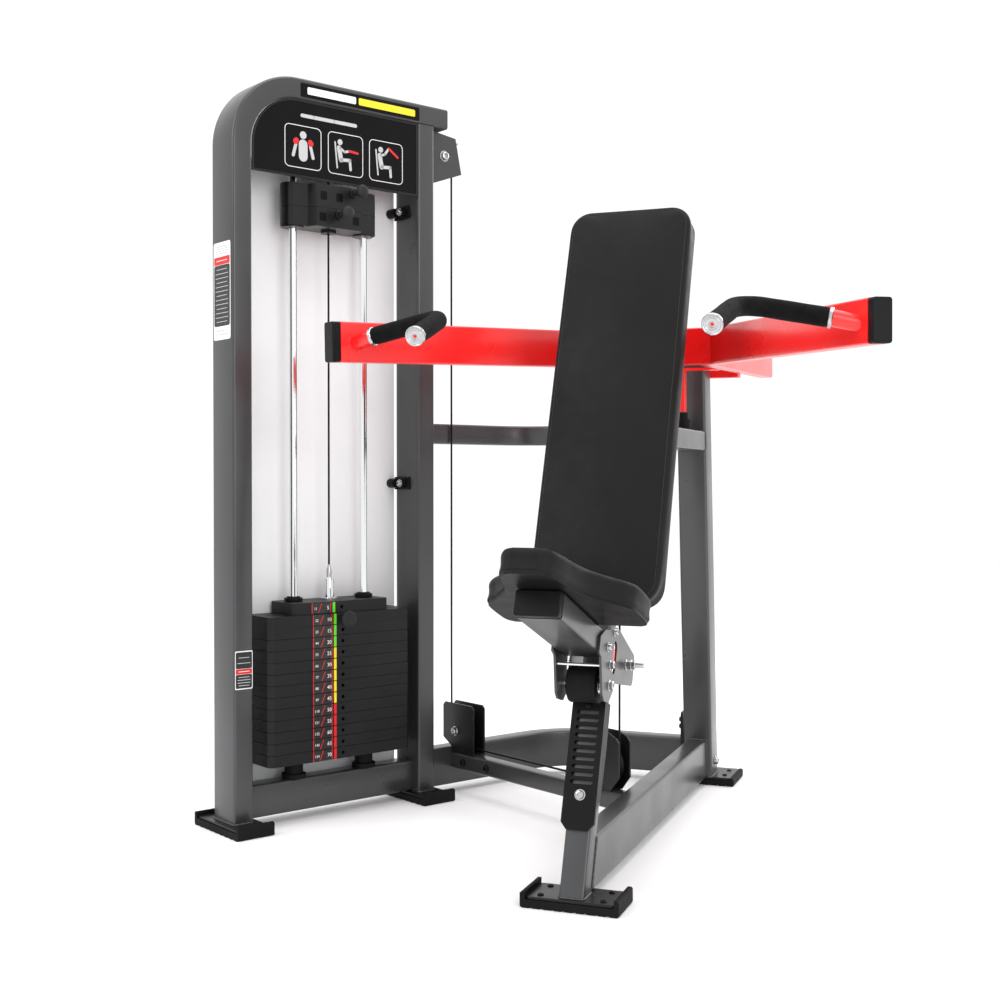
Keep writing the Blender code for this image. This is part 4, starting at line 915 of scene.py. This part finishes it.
def wheel(name, axis_at, axis, body):
    """A grooved cable wheel with a dished web, a hub and a bearing."""
    bm = bmesh.new()
    half = 0.0110
    profile = [(0.0100, -half), (0.0145, -half), (0.0150, -half + 0.0010), (0.0155, -0.0060),
               (0.0180, -0.0048), (0.0335, -0.0048), (0.0360, -0.0060), (0.0372, -half + 0.0015),
               (0.0380, -half), (0.0438, -half), (0.0445, -half + 0.0008), (0.0445, -half + 0.0022),
               (0.0402, -0.0028), (0.0390, -0.0012), (0.0388, 0.0)]
    profile = profile + [(r, -h) for r, h in reversed(profile[:-1])] + [(0.0100, -half)]
    lathe(bm, profile, axis_at, axis, 64)
    piece(name + "_wheel", bm, BLACK, TOWER, body, 40, replaces=(name,))
    bm = bmesh.new()
    lathe(bm, [(0.0052, -0.0106), (0.0098, -0.0106), (0.0098, -0.0100), (0.0088, -0.0094), (0.0088, 0.0094),
               (0.0098, 0.0100), (0.0098, 0.0106), (0.0052, 0.0106), (0.0052, -0.0106)], axis_at, axis, 32)
    piece(name + "_bearing", bm, ZINC, TOWER, body, 40)
    bm = bmesh.new()
    up = Vector(axis)
    a = up.orthogonal().normalized()
    b = up.cross(a)
    for k in range(6):
        turn = 2 * math.pi * k / 6
        centre = Vector(axis_at) + (a * math.cos(turn) + b * math.sin(turn)) * 0.0256
        for side in (-1, 1):
            boss = [(0, 0.0), (0.0046, 0.0), (0.0040, 0.0007), (0, 0.0008)]
            lathe(bm, boss, centre + up * side * 0.0047, up * side, 16)
    piece(name + "_bosses", bm, BLACK, TOWER, body, 40)


def cable_path():
    """The main cable's centreline from the header wheel to the riser, in the tower's frame."""
    def quarter(centre, start, end, u, v, steps=12):
        points = []
        for i in range(steps + 1):
            a = math.radians(start + (end - start) * i / steps)
            p = Vector(centre)
            p[u] += PULLEY_R * math.cos(a)
            p[v] += PULLEY_R * math.sin(a)
            points.append(p)
        return points
    path = quarter((HEAD_T, 0, HIGH_Z), 180, 90, 0, 2)
    path += quarter((TOP_T, 0, HIGH_Z), 90, 0, 0, 2)
    path += [Vector((RISER_T, 0, HIGH_Z - k * 0.185)) for k in range(1, 8)]
    path += quarter((RISER_T, NEAR_Y, LOW_Z), 0, -90, 1, 2)
    path += quarter((RISER_T, FAR_Y, LOW_Z), 270, 180, 1, 2)
    return path


def make_cable():
    """The cable that runs over the wheels, its riser to the arm's cam and the length over the stack."""
    path = [TOWER @ p for p in cable_path()]
    riser = TOWER @ Vector((RISER_T, FAR_Y - PULLEY_R, 0))
    bm = bmesh.new()
    sweep(bm, path + [Vector((riser.x, riser.y, 0.30))], CABLE_R, 12)
    piece("main_cable_run", bm, CABLE, smooth=60, replaces=("main_cable",))
    bm = bmesh.new()
    bottom, top, count = 0.3002, 1.144, 60
    levels = [bottom + (top - bottom) * i / count for i in range(count + 1)]
    sweep(bm, [Vector((riser.x, riser.y, level)) for level in levels], CABLE_R, 12)
    obj = piece("cable_riser", bm, CABLE, body=None, smooth=60)
    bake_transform(obj)
    bm = bmesh.new()
    low, high = 0.5753, 1.6427
    sweep(bm, [TOWER @ Vector((0, 0, low + (high - low) * i / 40)) for i in range(41)], CABLE_R, 12)
    obj = piece("stack_cable_run", bm, CABLE, body="frame", smooth=60, replaces=("stack_cable",))
    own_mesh(obj)
    wheel("pulley_header", (HEAD_T, 0, HIGH_Z), (0, 1, 0), "pulley_header")
    wheel("pulley_top", (TOP_T, 0, HIGH_Z), (0, 1, 0), "pulley_top")
    wheel("pulley_low_tower", (RISER_T, NEAR_Y, LOW_Z), (1, 0, 0), "pulley_low_tower")
    wheel("pulley_low_seat", (RISER_T, FAR_Y, LOW_Z), (1, 0, 0), "pulley_low_seat")


# ---- press arm ------------------------------------------------------------------------------------
ARM_SIDE = Vector((0.8080, 0.5892, 0))
ARM_ALONG = Vector((0.5892, -0.8080, 0))


def mirrored(v, side):
    return Vector((v[0] * side, v[1], v[2]))


def make_arm():
    """Red box-section arm: cross tube, two spread front tubes, two rear tubes and the bar between them."""
    h, r = 0.042, 0.005
    bm = bmesh.new()
    section_bar(bm, [(-0.133, -0.400, 0), (0.133, -0.400, 0)], 0.020, h, (0, 0, 1), r)
    piece("cross_tube_skin", bm, RED, ARM, "press_arm", 40, replaces=("arm_cross_tube",))
    for side, label in ((-1, "left"), (1, "right")):
        inner = Vector((0.1333, -0.420, 0))
        middle = inner + ARM_SIDE * 0.020
        end = middle + ARM_ALONG * 0.671
        path = [mirrored(middle, side), mirrored(end, side)]
        bm = bmesh.new()
        cut_plane = ((side * 0.1333, 0, 0), (1, 0, 0))
        section_bar(bm, path, 0.020, h, (0, 0, 1), r, (cut_plane, None))
        piece("front_tube_skin_" + label, bm, RED, ARM, "press_arm", 40,
              replaces=("arm_front_tube_" + label,))
        bm = bmesh.new()
        section_bar(bm, [(side * 0.113, -0.3797, 0), (side * 0.113, 0.456, 0)], 0.020, h, (0, 0, 1), r)
        piece("rear_tube_skin_" + label, bm, RED, ARM, "press_arm", 40, replaces=("arm_rear_tube_" + label,))
        make_arm_cap(end, side, label)
        make_grip(side, label)
    bm = bmesh.new()
    section_bar(bm, [(-0.0927, 0.151, -0.005), (0.0927, 0.151, -0.005)], 0.020, 0.047, (0, 0, 1), r)
    piece("rear_bar_skin", bm, RED, ARM, "press_arm", 40, replaces=("arm_rear_bar",))
    edge_round(["stop_tab", "cable_cam"], 0.0008)
    paint(["stop_tab", "cable_cam"], RED)
    paint(["pivot_shaft"], ZINC)
    hubs = bmesh.new()
    screws = bmesh.new()
    for side in (-1, 1):
        bolt(screws, (side * 0.1332, 0, 0), (side, 0, 0), 0.013, 0.008)
        ring(hubs, 0.026, 0.0127, 0.0150, (side * 0.0925, 0, 0), (-side, 0, 0), 40)
    piece("arm_hubs", hubs, DARK, ARM, "press_arm")
    piece("arm_bolts", screws, BLACK, ARM, "press_arm")
    clamp = bmesh.new()
    box(clamp, (-0.0620, 0.485, 1.120), (-0.0415, 0.505, 1.146))
    piece("cable_clamp", clamp, ZINC, body="press_arm", bevel=0.0012)


def make_arm_cap(end, side, label):
    """The black plug in a front tube's end."""
    bm = bmesh.new()
    path = [mirrored(end + ARM_ALONG * d, side) for d in (0.0003, 0.0190)]
    section_bar(bm, path, 0.0198, 0.0418, (0, 0, 1), 0.006)
    piece("arm_plug_" + label, bm, BLACK, ARM, "press_arm", 40, 0.0025, 3, replaces=("arm_end_cap_" + label,))


def make_grip(side, label):
    """The bent steel stub behind the arm, its clamping ring, the foam sleeve and the turned end cap."""
    root, collar = Vector((0.505, 0.088, 1.098)), Vector((0.4625, 0.072, 1.107))
    elbow, tip = Vector((0.296, 0.056, 1.1395)), Vector((0.2825, -0.120, 1.0815))
    into = (elbow - collar).normalized()
    stub = bmesh.new()
    back = (root - collar).normalized() * 0.012
    sweep(stub, [mirrored(p, side) for p in (root + back, root, collar.lerp(root, 0.5), collar)], 0.0160, 32)
    piece("grip_stub_" + label, stub, RED, WORLD, "press_arm", 50)
    ring_bm = bmesh.new()
    seat = mirrored(collar - into * 0.0035, side)
    ring(ring_bm, 0.0195, 0.0100, 0.0075, seat, mirrored(into, side), 40, 0.0012)
    piece("grip_ring_" + label, ring_bm, ZINC, WORLD, "press_arm", 40)

    bend = fillet(collar, elbow, tip, 0.060, 22)
    coarse = [collar + into * 0.0042, *bend, tip]
    line = []
    for a, b in zip(coarse, coarse[1:]):
        steps = max(1, round((b - a).length / 0.006))
        line += [a.lerp(b, i / steps) for i in range(steps)]
    line = [mirrored(p, side) for p in line + [tip]]
    out = (line[-1] - line[-2]).normalized()
    line[-1] -= out * 0.0042
    sides = 40
    foam_bm = bmesh.new()
    sweep(foam_bm, line, 0.0186, sides)
    foam_bm.verts.ensure_lookup_table()
    count = len(line)
    for i, v in enumerate(foam_bm.verts):
        row = i // sides
        edge = min(row, count - 1 - row)
        soft = 0.93 if edge == 0 else 1.0 + 0.008 * math.sin(row * 0.55 + side)
        v.co = line[row] + (v.co - line[row]) * soft
    obj = piece("grip_sleeve_" + label, foam_bm, FOAM, WORLD, "press_arm", 60,
                replaces=("grip_foam_" + label,))
    cap = bmesh.new()
    turned = [(0, -0.004), (0.0180, -0.004), (0.0196, -0.0026), (0.0198, 0.0022), (0.0186, 0.0040),
              (0.0166, 0.0046), (0.0160, 0.0041), (0.0150, 0.0041), (0.0144, 0.0048), (0.0115, 0.0052),
              (0.0108, 0.0044), (0.0060, 0.0036), (0.0052, 0.0024), (0, 0.0024)]
    lathe(cap, turned, line[-1] + out * 0.0006, out, 48)
    piece("grip_cap_" + label, cap, ZINC, WORLD, "press_arm", 30)
    dot = bmesh.new()
    lathe(dot, [(0, 0.0031), (0.0024, 0.0030), (0.0034, 0.0026), (0.0036, 0.0022), (0, 0.0022)],
          line[-1] + out * 0.0007, out, 24)
    piece("grip_dot_" + label, dot, PRINT_RED, WORLD, "press_arm", 30)


# ---- cushions --------------------------------------------------------------------------------------
SEAM = 0.0085        # stitched line's distance from a cushion's edge
PUFF_CAP = 0.007     # furthest that the cover may swell


def resample(points, step):
    out = []
    for a, b in zip(points, points[1:]):
        a, b = Vector(a), Vector(b)
        count = max(1, round((b - a).length / step))
        out += [a.lerp(b, i / count) for i in range(count)]
    return out + [Vector(points[-1])]


def pillow(side, depth, across, edge):
    """A stuffed pad between depth 0, the face, and depth, the back. side is its right outline, (half width,
    place) from one end to the other. Returns the mesh and the indices of the points that are held."""
    bm = bmesh.new()
    rows = len(side)
    loop = [Vector((side[0].x * (2 * k / across - 1), side[0].y)) for k in range(1, across)]
    right = list(side)
    top = [Vector((side[-1].x * (1 - 2 * k / across), side[-1].y)) for k in range(1, across)]
    left = [Vector((-p.x, p.y)) for p in reversed(side)]
    loop = loop + right + top + left
    count = len(loop)
    normals = []
    for i, p in enumerate(loop):
        run = (loop[(i + 1) % count] - loop[i - 1]).normalized()
        normals.append(Vector((run.y, -run.x)))

    def layer(inset, level):
        return [bm.verts.new((p.x - n.x * inset, level, p.y - n.y * inset)) for p, n in zip(loop, normals)]

    def face_grid(border, flip):
        """Fills a panel: each row runs from the left outline to the right one."""
        at_right = border[across - 1:across - 1 + rows]
        at_left = list(reversed(border[-rows:]))
        grid = []
        for r in range(rows):
            if r == 0:
                row = [at_left[0]] + border[:across - 1] + [at_right[0]]
            elif r == rows - 1:
                far = border[across - 1 + rows:2 * (across - 1) + rows]
                row = [at_left[-1]] + list(reversed(far)) + [at_right[-1]]
            else:
                a, b = at_left[r].co, at_right[r].co
                inside = [bm.verts.new(a.lerp(b, k / across)) for k in range(1, across)]
                row = [at_left[r]] + inside + [at_right[r]]
            grid.append(row)
        for one, two in zip(grid, grid[1:]):
            for k in range(across):
                quad = (one[k], one[k + 1], two[k + 1], two[k])
                bm.faces.new(quad if flip else tuple(reversed(quad)))

    held = []
    rings = []
    for inset, level, hold in edge:
        ring_now = layer(inset, level)
        rings.append(ring_now)
        if hold:
            held += ring_now
    face_grid(rings[0], True)
    loft(bm, rings)
    face_grid(rings[-1], False)
    bmesh.ops.recalc_face_normals(bm, faces=bm.faces)
    held += [v for v in bm.verts if v.co.y > depth - 0.004]
    bm.verts.index_update()
    return bm, sorted({v.index for v in held})


def puff(mesh, held, pressure):
    """Swells the pad with air pressure while the seams and the board hold it, then keeps the shape."""
    obj = bpy.data.objects.new("puff", mesh)
    bpy.context.scene.collection.objects.link(obj)
    group = obj.vertex_groups.new(name="held")
    group.add(held, 1.0, "REPLACE")
    rest = [v.co.copy() for v in mesh.vertices]
    cloth = obj.modifiers.new("cloth", "CLOTH")
    cloth.settings.quality = 4
    cloth.settings.mass = 0.4
    cloth.settings.tension_stiffness = 25
    cloth.settings.compression_stiffness = 25
    cloth.settings.shear_stiffness = 12
    cloth.settings.bending_stiffness = 1.2
    cloth.settings.use_pressure = True
    cloth.settings.uniform_pressure_force = pressure
    cloth.settings.vertex_group_mass = "held"
    cloth.settings.effector_weights.gravity = 0
    cloth.collision_settings.use_collision = False
    cloth.point_cache.frame_start = 1
    cloth.point_cache.frame_end = 20
    scene = bpy.context.scene
    for number_of_frame in range(1, 21):
        scene.frame_set(number_of_frame)
    baked = bpy.data.meshes.new_from_object(obj.evaluated_get(bpy.context.evaluated_depsgraph_get()))
    for i, v in enumerate(baked.vertices):
        move = v.co - rest[i]
        if move.length > PUFF_CAP:
            move *= PUFF_CAP / move.length
        mesh.vertices[i].co = rest[i] + move
    bpy.data.meshes.remove(baked)
    bpy.data.objects.remove(obj)
    scene.frame_set(1)


def crown(bm, side, rise):
    """Lifts the middle of the face: foam under a tight cover is fullest far from its seams."""
    low, high = side[0].y, side[-1].y
    widths = [(p.y, p.x) for p in side]
    for v in bm.verts:
        if v.co.y > 0.002:
            continue
        half = widths[0][1]
        for (a, wa), (b, wb) in zip(widths, widths[1:]):
            if a <= v.co.z <= b and b > a:
                half = wa + (wb - wa) * (v.co.z - a) / (b - a)
        edge = min(half - abs(v.co.x), v.co.z - low, high - v.co.z) - SEAM
        if edge > 0.0005:
            v.co.y -= rise * (1 - math.exp(-edge / 0.022))


def stitches(bm, line, lift, radius=0.00055, length=0.0042, pitch=0.0065):
    """Short threads in a row along a closed line; lift is each stitch's way up."""
    total = 0.0
    for a, b, up in zip(line, line[1:] + line[:1], lift):
        span = (b - a).length
        while total < span:
            p = a.lerp(b, total / span)
            run = (b - a).normalized()
            thread = [p - run * length * f for f in (0.5, 0.36, 0.0, -0.36, -0.5)]
            rise = (-0.0004, 0.0001, 0.0003, 0.0001, -0.0004)
            sweep(bm, [q + up * r for q, r in zip(thread, rise)], radius, 6)
            total += pitch
        total -= span


def cushion(name, side, depth, across, edge, rise, pressure, turn, place, body, node):
    """Makes a pad, its stitching and its place; turn maps the pad's own axes to the place's."""
    bm, held = pillow(side, depth, across, edge)
    crown(bm, side, rise)
    mesh = bpy.data.meshes.new(name)
    bm.to_mesh(mesh)
    bm.free()
    puff(mesh, held, pressure)
    rows = len(side)
    count = 2 * (across - 1) + 2 * rows
    seam_rings = [i for i, (_, _, hold) in enumerate(edge) if hold == 2]
    threads = bmesh.new()
    for index in seam_rings:
        ring_points = [mesh.vertices[index * count + k].co.copy() for k in range(count)]
        ups = [mesh.vertices[index * count + k].normal.copy() for k in range(count)]
        line = [p + u * 0.0001 for p, u in zip(ring_points, ups)]
        stitches(threads, line, ups)
    obj = bpy.data.objects.new(name, mesh)
    bpy.context.scene.collection.objects.link(obj)
    mesh.transform(place @ turn)
    mesh.materials.append(LEATHER)
    mesh.shade_smooth()
    sub = obj.modifiers.new("soft", "SUBSURF")
    sub.levels = 1
    sub.render_levels = 1
    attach(obj, body)
    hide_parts(node)
    piece(name + "_stitching", threads, THREAD, place @ turn, body, 80)


def edge_rings(depth, radius, seam=SEAM):
    """Cross-section of a pad's edge from the face round to the back: (inset, level, held)."""
    rings = [(seam + 0.0030, 0.0, 0), (seam + 0.0014, 0.0002, 0), (seam, 0.0011, 2),
             (seam - 0.0014, 0.0006, 0)]
    turns = 6
    for i in range(1, turns + 1):
        a = math.radians(90 * i / turns)
        rings.append(((seam - 0.0014) * (1 - math.sin(a)), 0.0006 + radius * (1 - math.cos(a)), 0))
    span = depth - 0.006 - radius
    steps = max(2, round(span / 0.008))
    for i in range(1, steps + 1):
        part = i / steps
        rings.append((0.0030 * math.sin(part * math.pi) * 0.7, 0.0006 + radius + (span - 0.0006) * part, 0))
    rings += [(0.0006, depth - 0.0045, 0), (0.0025, depth - 0.0012, 1), (0.0055, depth, 1)]
    return rings


def make_backrest():
    half, low, high, bend = 0.1335, 0.5855, 1.4645, 0.0445
    corner = arc((half - bend, low + bend), bend, -90, 0, 9)
    other = arc((half - bend, high - bend), bend, 0, 90, 9)
    side = resample(corner + other, 0.0075)
    depth = 0.058
    turn = Matrix.Translation((0, -0.0665, 0))
    cushion("backrest_cushion", side, depth, 34, edge_rings(depth, 0.012), 0.0035, 2.2, turn, POST, "frame",
            "backrest_pad")
    bm = bmesh.new()
    board = rounded(half - 0.004, (high - low) / 2 - 0.004, bend - 0.004, 8, (0, (low + high) / 2))
    prism(bm, board, -0.0083, -0.0004)
    piece("backrest_board", bm, BLACK, POST, "frame", bevel=0.0012)


SEAT_OUTLINE = (
    (0.026, -0.477), (0.045, -0.464), (0.057, -0.435), (0.066, -0.395), (0.080, -0.350), (0.110, -0.305),
    (0.134, -0.275), (0.146, -0.243), (0.146, -0.160), (0.134, -0.137), (0.120, -0.134),
)


def smooth_line(points, steps):
    """A Catmull-Rom curve through the points."""
    pts = [Vector(p) for p in points]
    pts = [pts[0] * 2 - pts[1]] + pts + [pts[-1] * 2 - pts[-2]]
    out = []
    for a, b, c, d in zip(pts, pts[1:], pts[2:], pts[3:]):
        for i in range(steps):
            t = i / steps
            square, cube = 2 * a - 5 * b + 4 * c - d, 3 * b - a - 3 * c + d
            out.append(0.5 * (2 * b + (c - a) * t + square * t * t + cube * t ** 3))
    return out + [pts[-2]]


def make_seat_cushion():
    """The saddle-shaped seat: face up, narrow at the nose."""
    side = resample([(p.x - 0.0006, p.y) for p in smooth_line(SEAT_OUTLINE, 6)], 0.006)
    depth = 0.0455
    turn = Matrix(((1, 0, 0, 0), (0, 0, 1, 0), (0, -1, 0, 0.5700), (0, 0, 0, 1)))
    cushion("seat_cushion", side, depth, 30, edge_rings(depth, 0.012), 0.0030, 2.2, turn, POST, "seat",
            "seat_pad")
    bm = bmesh.new()
    outline = [(p.x - 0.004, p.y) for p in side]
    outline += [(-x, v) for x, v in reversed(outline)]
    prism(bm, outline, 0.5213, 0.5285, "xy")
    piece("seat_board", bm, BLACK, POST, "seat", bevel=0.001)


# ---- seat carriage ---------------------------------------------------------------------------------
def make_seat_carriage():
    half = 0.043
    bm = bmesh.new()
    section_bar(bm, [(0, -0.365, 0.49635), (0, -0.075, 0.49635)], half, 0.02435, (0, 0, 1), 0.005)
    piece("seat_tube_skin", bm, FRAME, POST, "seat", 40, replaces=("seat_tube",))
    bm = bmesh.new()
    section_bar(bm, [(0, -0.383, 0.49635), (0, -0.3653, 0.49635)], half - 0.0005, 0.0238, (0, 0, 1), 0.005)
    piece("seat_tube_cap", bm, BLACK, POST, "seat", 40, bevel=0.003, segments=3)
    names = ("seat_side_plate_left", "seat_side_plate_right")
    paint(names, FRAME)
    edge_round(names, 0.0007)
    paint(("seat_release_lever",), RED)
    edge_round(("seat_release_lever",), 0.0010)
    bm = bmesh.new()
    prism(bm, rounded(0.0065, 0.0170, 0.005, 4, (-0.0275, 0.483)), 0.0407, 0.0462, "yz")
    piece("lever_tab", bm, RED, POST, "seat_lever", bevel=0.0008)
    make_roller()
    screws, rod, adjuster = bmesh.new(), bmesh.new(), bmesh.new()
    lathe(rod, [(0, -0.043), (0.003, -0.043), (0.003, 0.043), (0, 0.043)], (0, -0.103, 0.4505), (1, 0, 0), 20)
    for side in (-1, 1):
        face, out = side * 0.0481, (side, 0, 0)
        for v, w in ((-0.080, 0.492), (-0.042, 0.5315)):
            bolt(screws, (face, v, w), out, 0.0075, 0.0065)
        nut(screws, (face, -0.0525, 0.463), out, 0.0078, 0.007)
        nut(screws, (face, -0.0463, 0.424), out, 0.0090, 0.007)
        nut(adjuster, (face, 0.062, 0.489), out, 0.0090, 0.008)
        nut(adjuster, (face + side * 0.0105, 0.062, 0.489), out, 0.0090, 0.008)
        lathe(adjuster, [(0, 0), (0.0048, 0), (0.0048, 0.036), (0.0040, 0.0375), (0, 0.0375)],
              (face, 0.062, 0.489), out, 16)
    piece("carriage_screws", screws, ZINC, POST, "seat")
    piece("carriage_spacer", rod, CHROME, POST, "seat")
    piece("carriage_adjuster", adjuster, ZINC, POST, "seat")


def make_roller():
    """The front roller: a smooth rubber drum with raised rims on a steel hub, with its axle."""
    at = (0, -0.0463, 0.426)
    bm = bmesh.new()
    r, h = 0.038, 0.030
    profile = [(0.020, -h), (r - 0.003, -h), (r - 0.001, -h + 0.001), (r, -h + 0.003), (r, -h + 0.008),
               (r - 0.001, -h + 0.009), (r - 0.001, h - 0.009), (r, h - 0.008), (r, h - 0.003),
               (r - 0.001, h - 0.001), (r - 0.003, h), (0.020, h), (0.020, -h)]
    lathe(bm, profile, at, (1, 0, 0), 56)
    piece("roller_tread", bm, RUBBER, POST, "seat_roller", 30, replaces=("seat_roller",))
    bm = bmesh.new()
    half = 0.043
    lathe(bm, [(0, -half), (0.008, -half), (0.008, -h - 0.001), (0.0125, -h - 0.001), (0.0125, -h + 0.002),
               (0.0197, -h + 0.002), (0.0197, h - 0.002), (0.0125, h - 0.002), (0.0125, h + 0.001),
               (0.008, h + 0.001), (0.008, half), (0, half)], at, (1, 0, 0), 32)
    piece("roller_hub", bm, ZINC, POST, "seat_roller", 40)


# ---- the rest -----------------------------------------------------------------------------------------
def finish_cad_nodes():
    """Materials and rounded edges on the CAD nodes that stay in view."""
    boots = ("front_boot", "rear_boot", "tower_boot_left", "tower_boot_right")
    paint(boots, RUBBER)
    edge_round(boots, 0.0010, angle=40)
    paint(("top_bracket",), FRAME)
    edge_round(("top_bracket",), 0.0008)
    lower = ("low_bracket_tower", "low_bracket_seat")
    paint(lower, DARK)
    edge_round(lower, 0.0008)
    paint(("ladder_cover",), BLACK)
    edge_round(("ladder_cover",), 0.0012)


def make_stickers():
    """Plain printed plates on the left post, where a machine carries its load chart; no lettering."""
    side = ((WHITE, 0.02, 0.14, 4), (PRINT_RED, 0.15, 0.23, 1), (PRINT_BLACK, 0.235, 0.86, 13),
            (WHITE, 0.87, 0.98, 2))
    front = ((PRINT_BLACK, 0.03, 0.46, 2), (PRINT_RED, 0.47, 0.60, 1), (PRINT_BLACK, 0.61, 0.97, 4))
    sticker("side_plate", (-0.2853, 0.002, 1.245), 0.040, 0.112, "yz", side)
    sticker("front_plate", (-0.26, -0.0483, 0.376), 0.0225, 0.044, "xz", front)


def make_stage():
    bpy.ops.mesh.primitive_plane_add(size=24, location=(0, 0, -0.0002))
    floor = bpy.context.object
    floor.name = "floor"
    p = Paint("floor_paint", (0.94, 0.94, 0.94), 0.75, 0.0, 0.0, 0.1)
    p.vary_colour(p.noise(0.8, 2), (0.96, 0.96, 0.96))
    floor.data.materials.append(p.mat)


def light(name, at, aim, size, power, colour=(1, 1, 1)):
    data = bpy.data.lights.new(name, "AREA")
    data.shape = "RECTANGLE"
    data.size, data.size_y = size
    data.energy = power
    data.color = colour
    obj = bpy.data.objects.new(name, data)
    bpy.context.scene.collection.objects.link(obj)
    obj.location = at
    obj.rotation_euler = (Vector(aim) - Vector(at)).to_track_quat("-Z", "Y").to_euler()


def make_light():
    world = bpy.data.worlds.new("studio")
    bpy.context.scene.world = world
    world.use_nodes = True
    world.node_tree.nodes["Background"].inputs["Color"].default_value = (1.0, 1.0, 1.0, 1)
    world.node_tree.nodes["Background"].inputs["Strength"].default_value = 1.06
    light("key", (-2.6, -2.6, 3.4), (-0.2, 0.3, 0.8), (2.2, 2.2), 60)
    light("fill", (3.2, -2.2, 2.0), (0.0, 0.4, 0.8), (2.0, 2.6), 50)
    light("top", (0.2, 0.4, 4.0), (0.0, 0.4, 0.0), (3.0, 3.0), 60)
    light("rim", (1.5, 3.6, 2.6), (0.0, 0.8, 0.8), (2.4, 1.8), 40)


def make_camera():
    data = bpy.data.cameras.new("camera")
    data.lens = 48.71
    data.sensor_width = 36
    data.clip_start, data.clip_end = 0.05, 60
    camera = bpy.data.objects.new("camera", data)
    bpy.context.scene.collection.objects.link(camera)
    camera.location = (0.7598, -2.4592, 0.810)
    camera.rotation_euler = (math.radians(90 - 0.829), 0, math.radians(20.42))
    bpy.context.scene.camera = camera
    bpy.context.scene.view_settings.view_transform = "Standard"


make_camera()
make_frame()
make_header()
make_guard()
make_stack()
make_stickers()
make_caps()
make_hardware()
make_cable()
make_arm()
make_backrest()
make_seat_cushion()
make_seat_carriage()
finish_cad_nodes()
make_stage()
make_light()
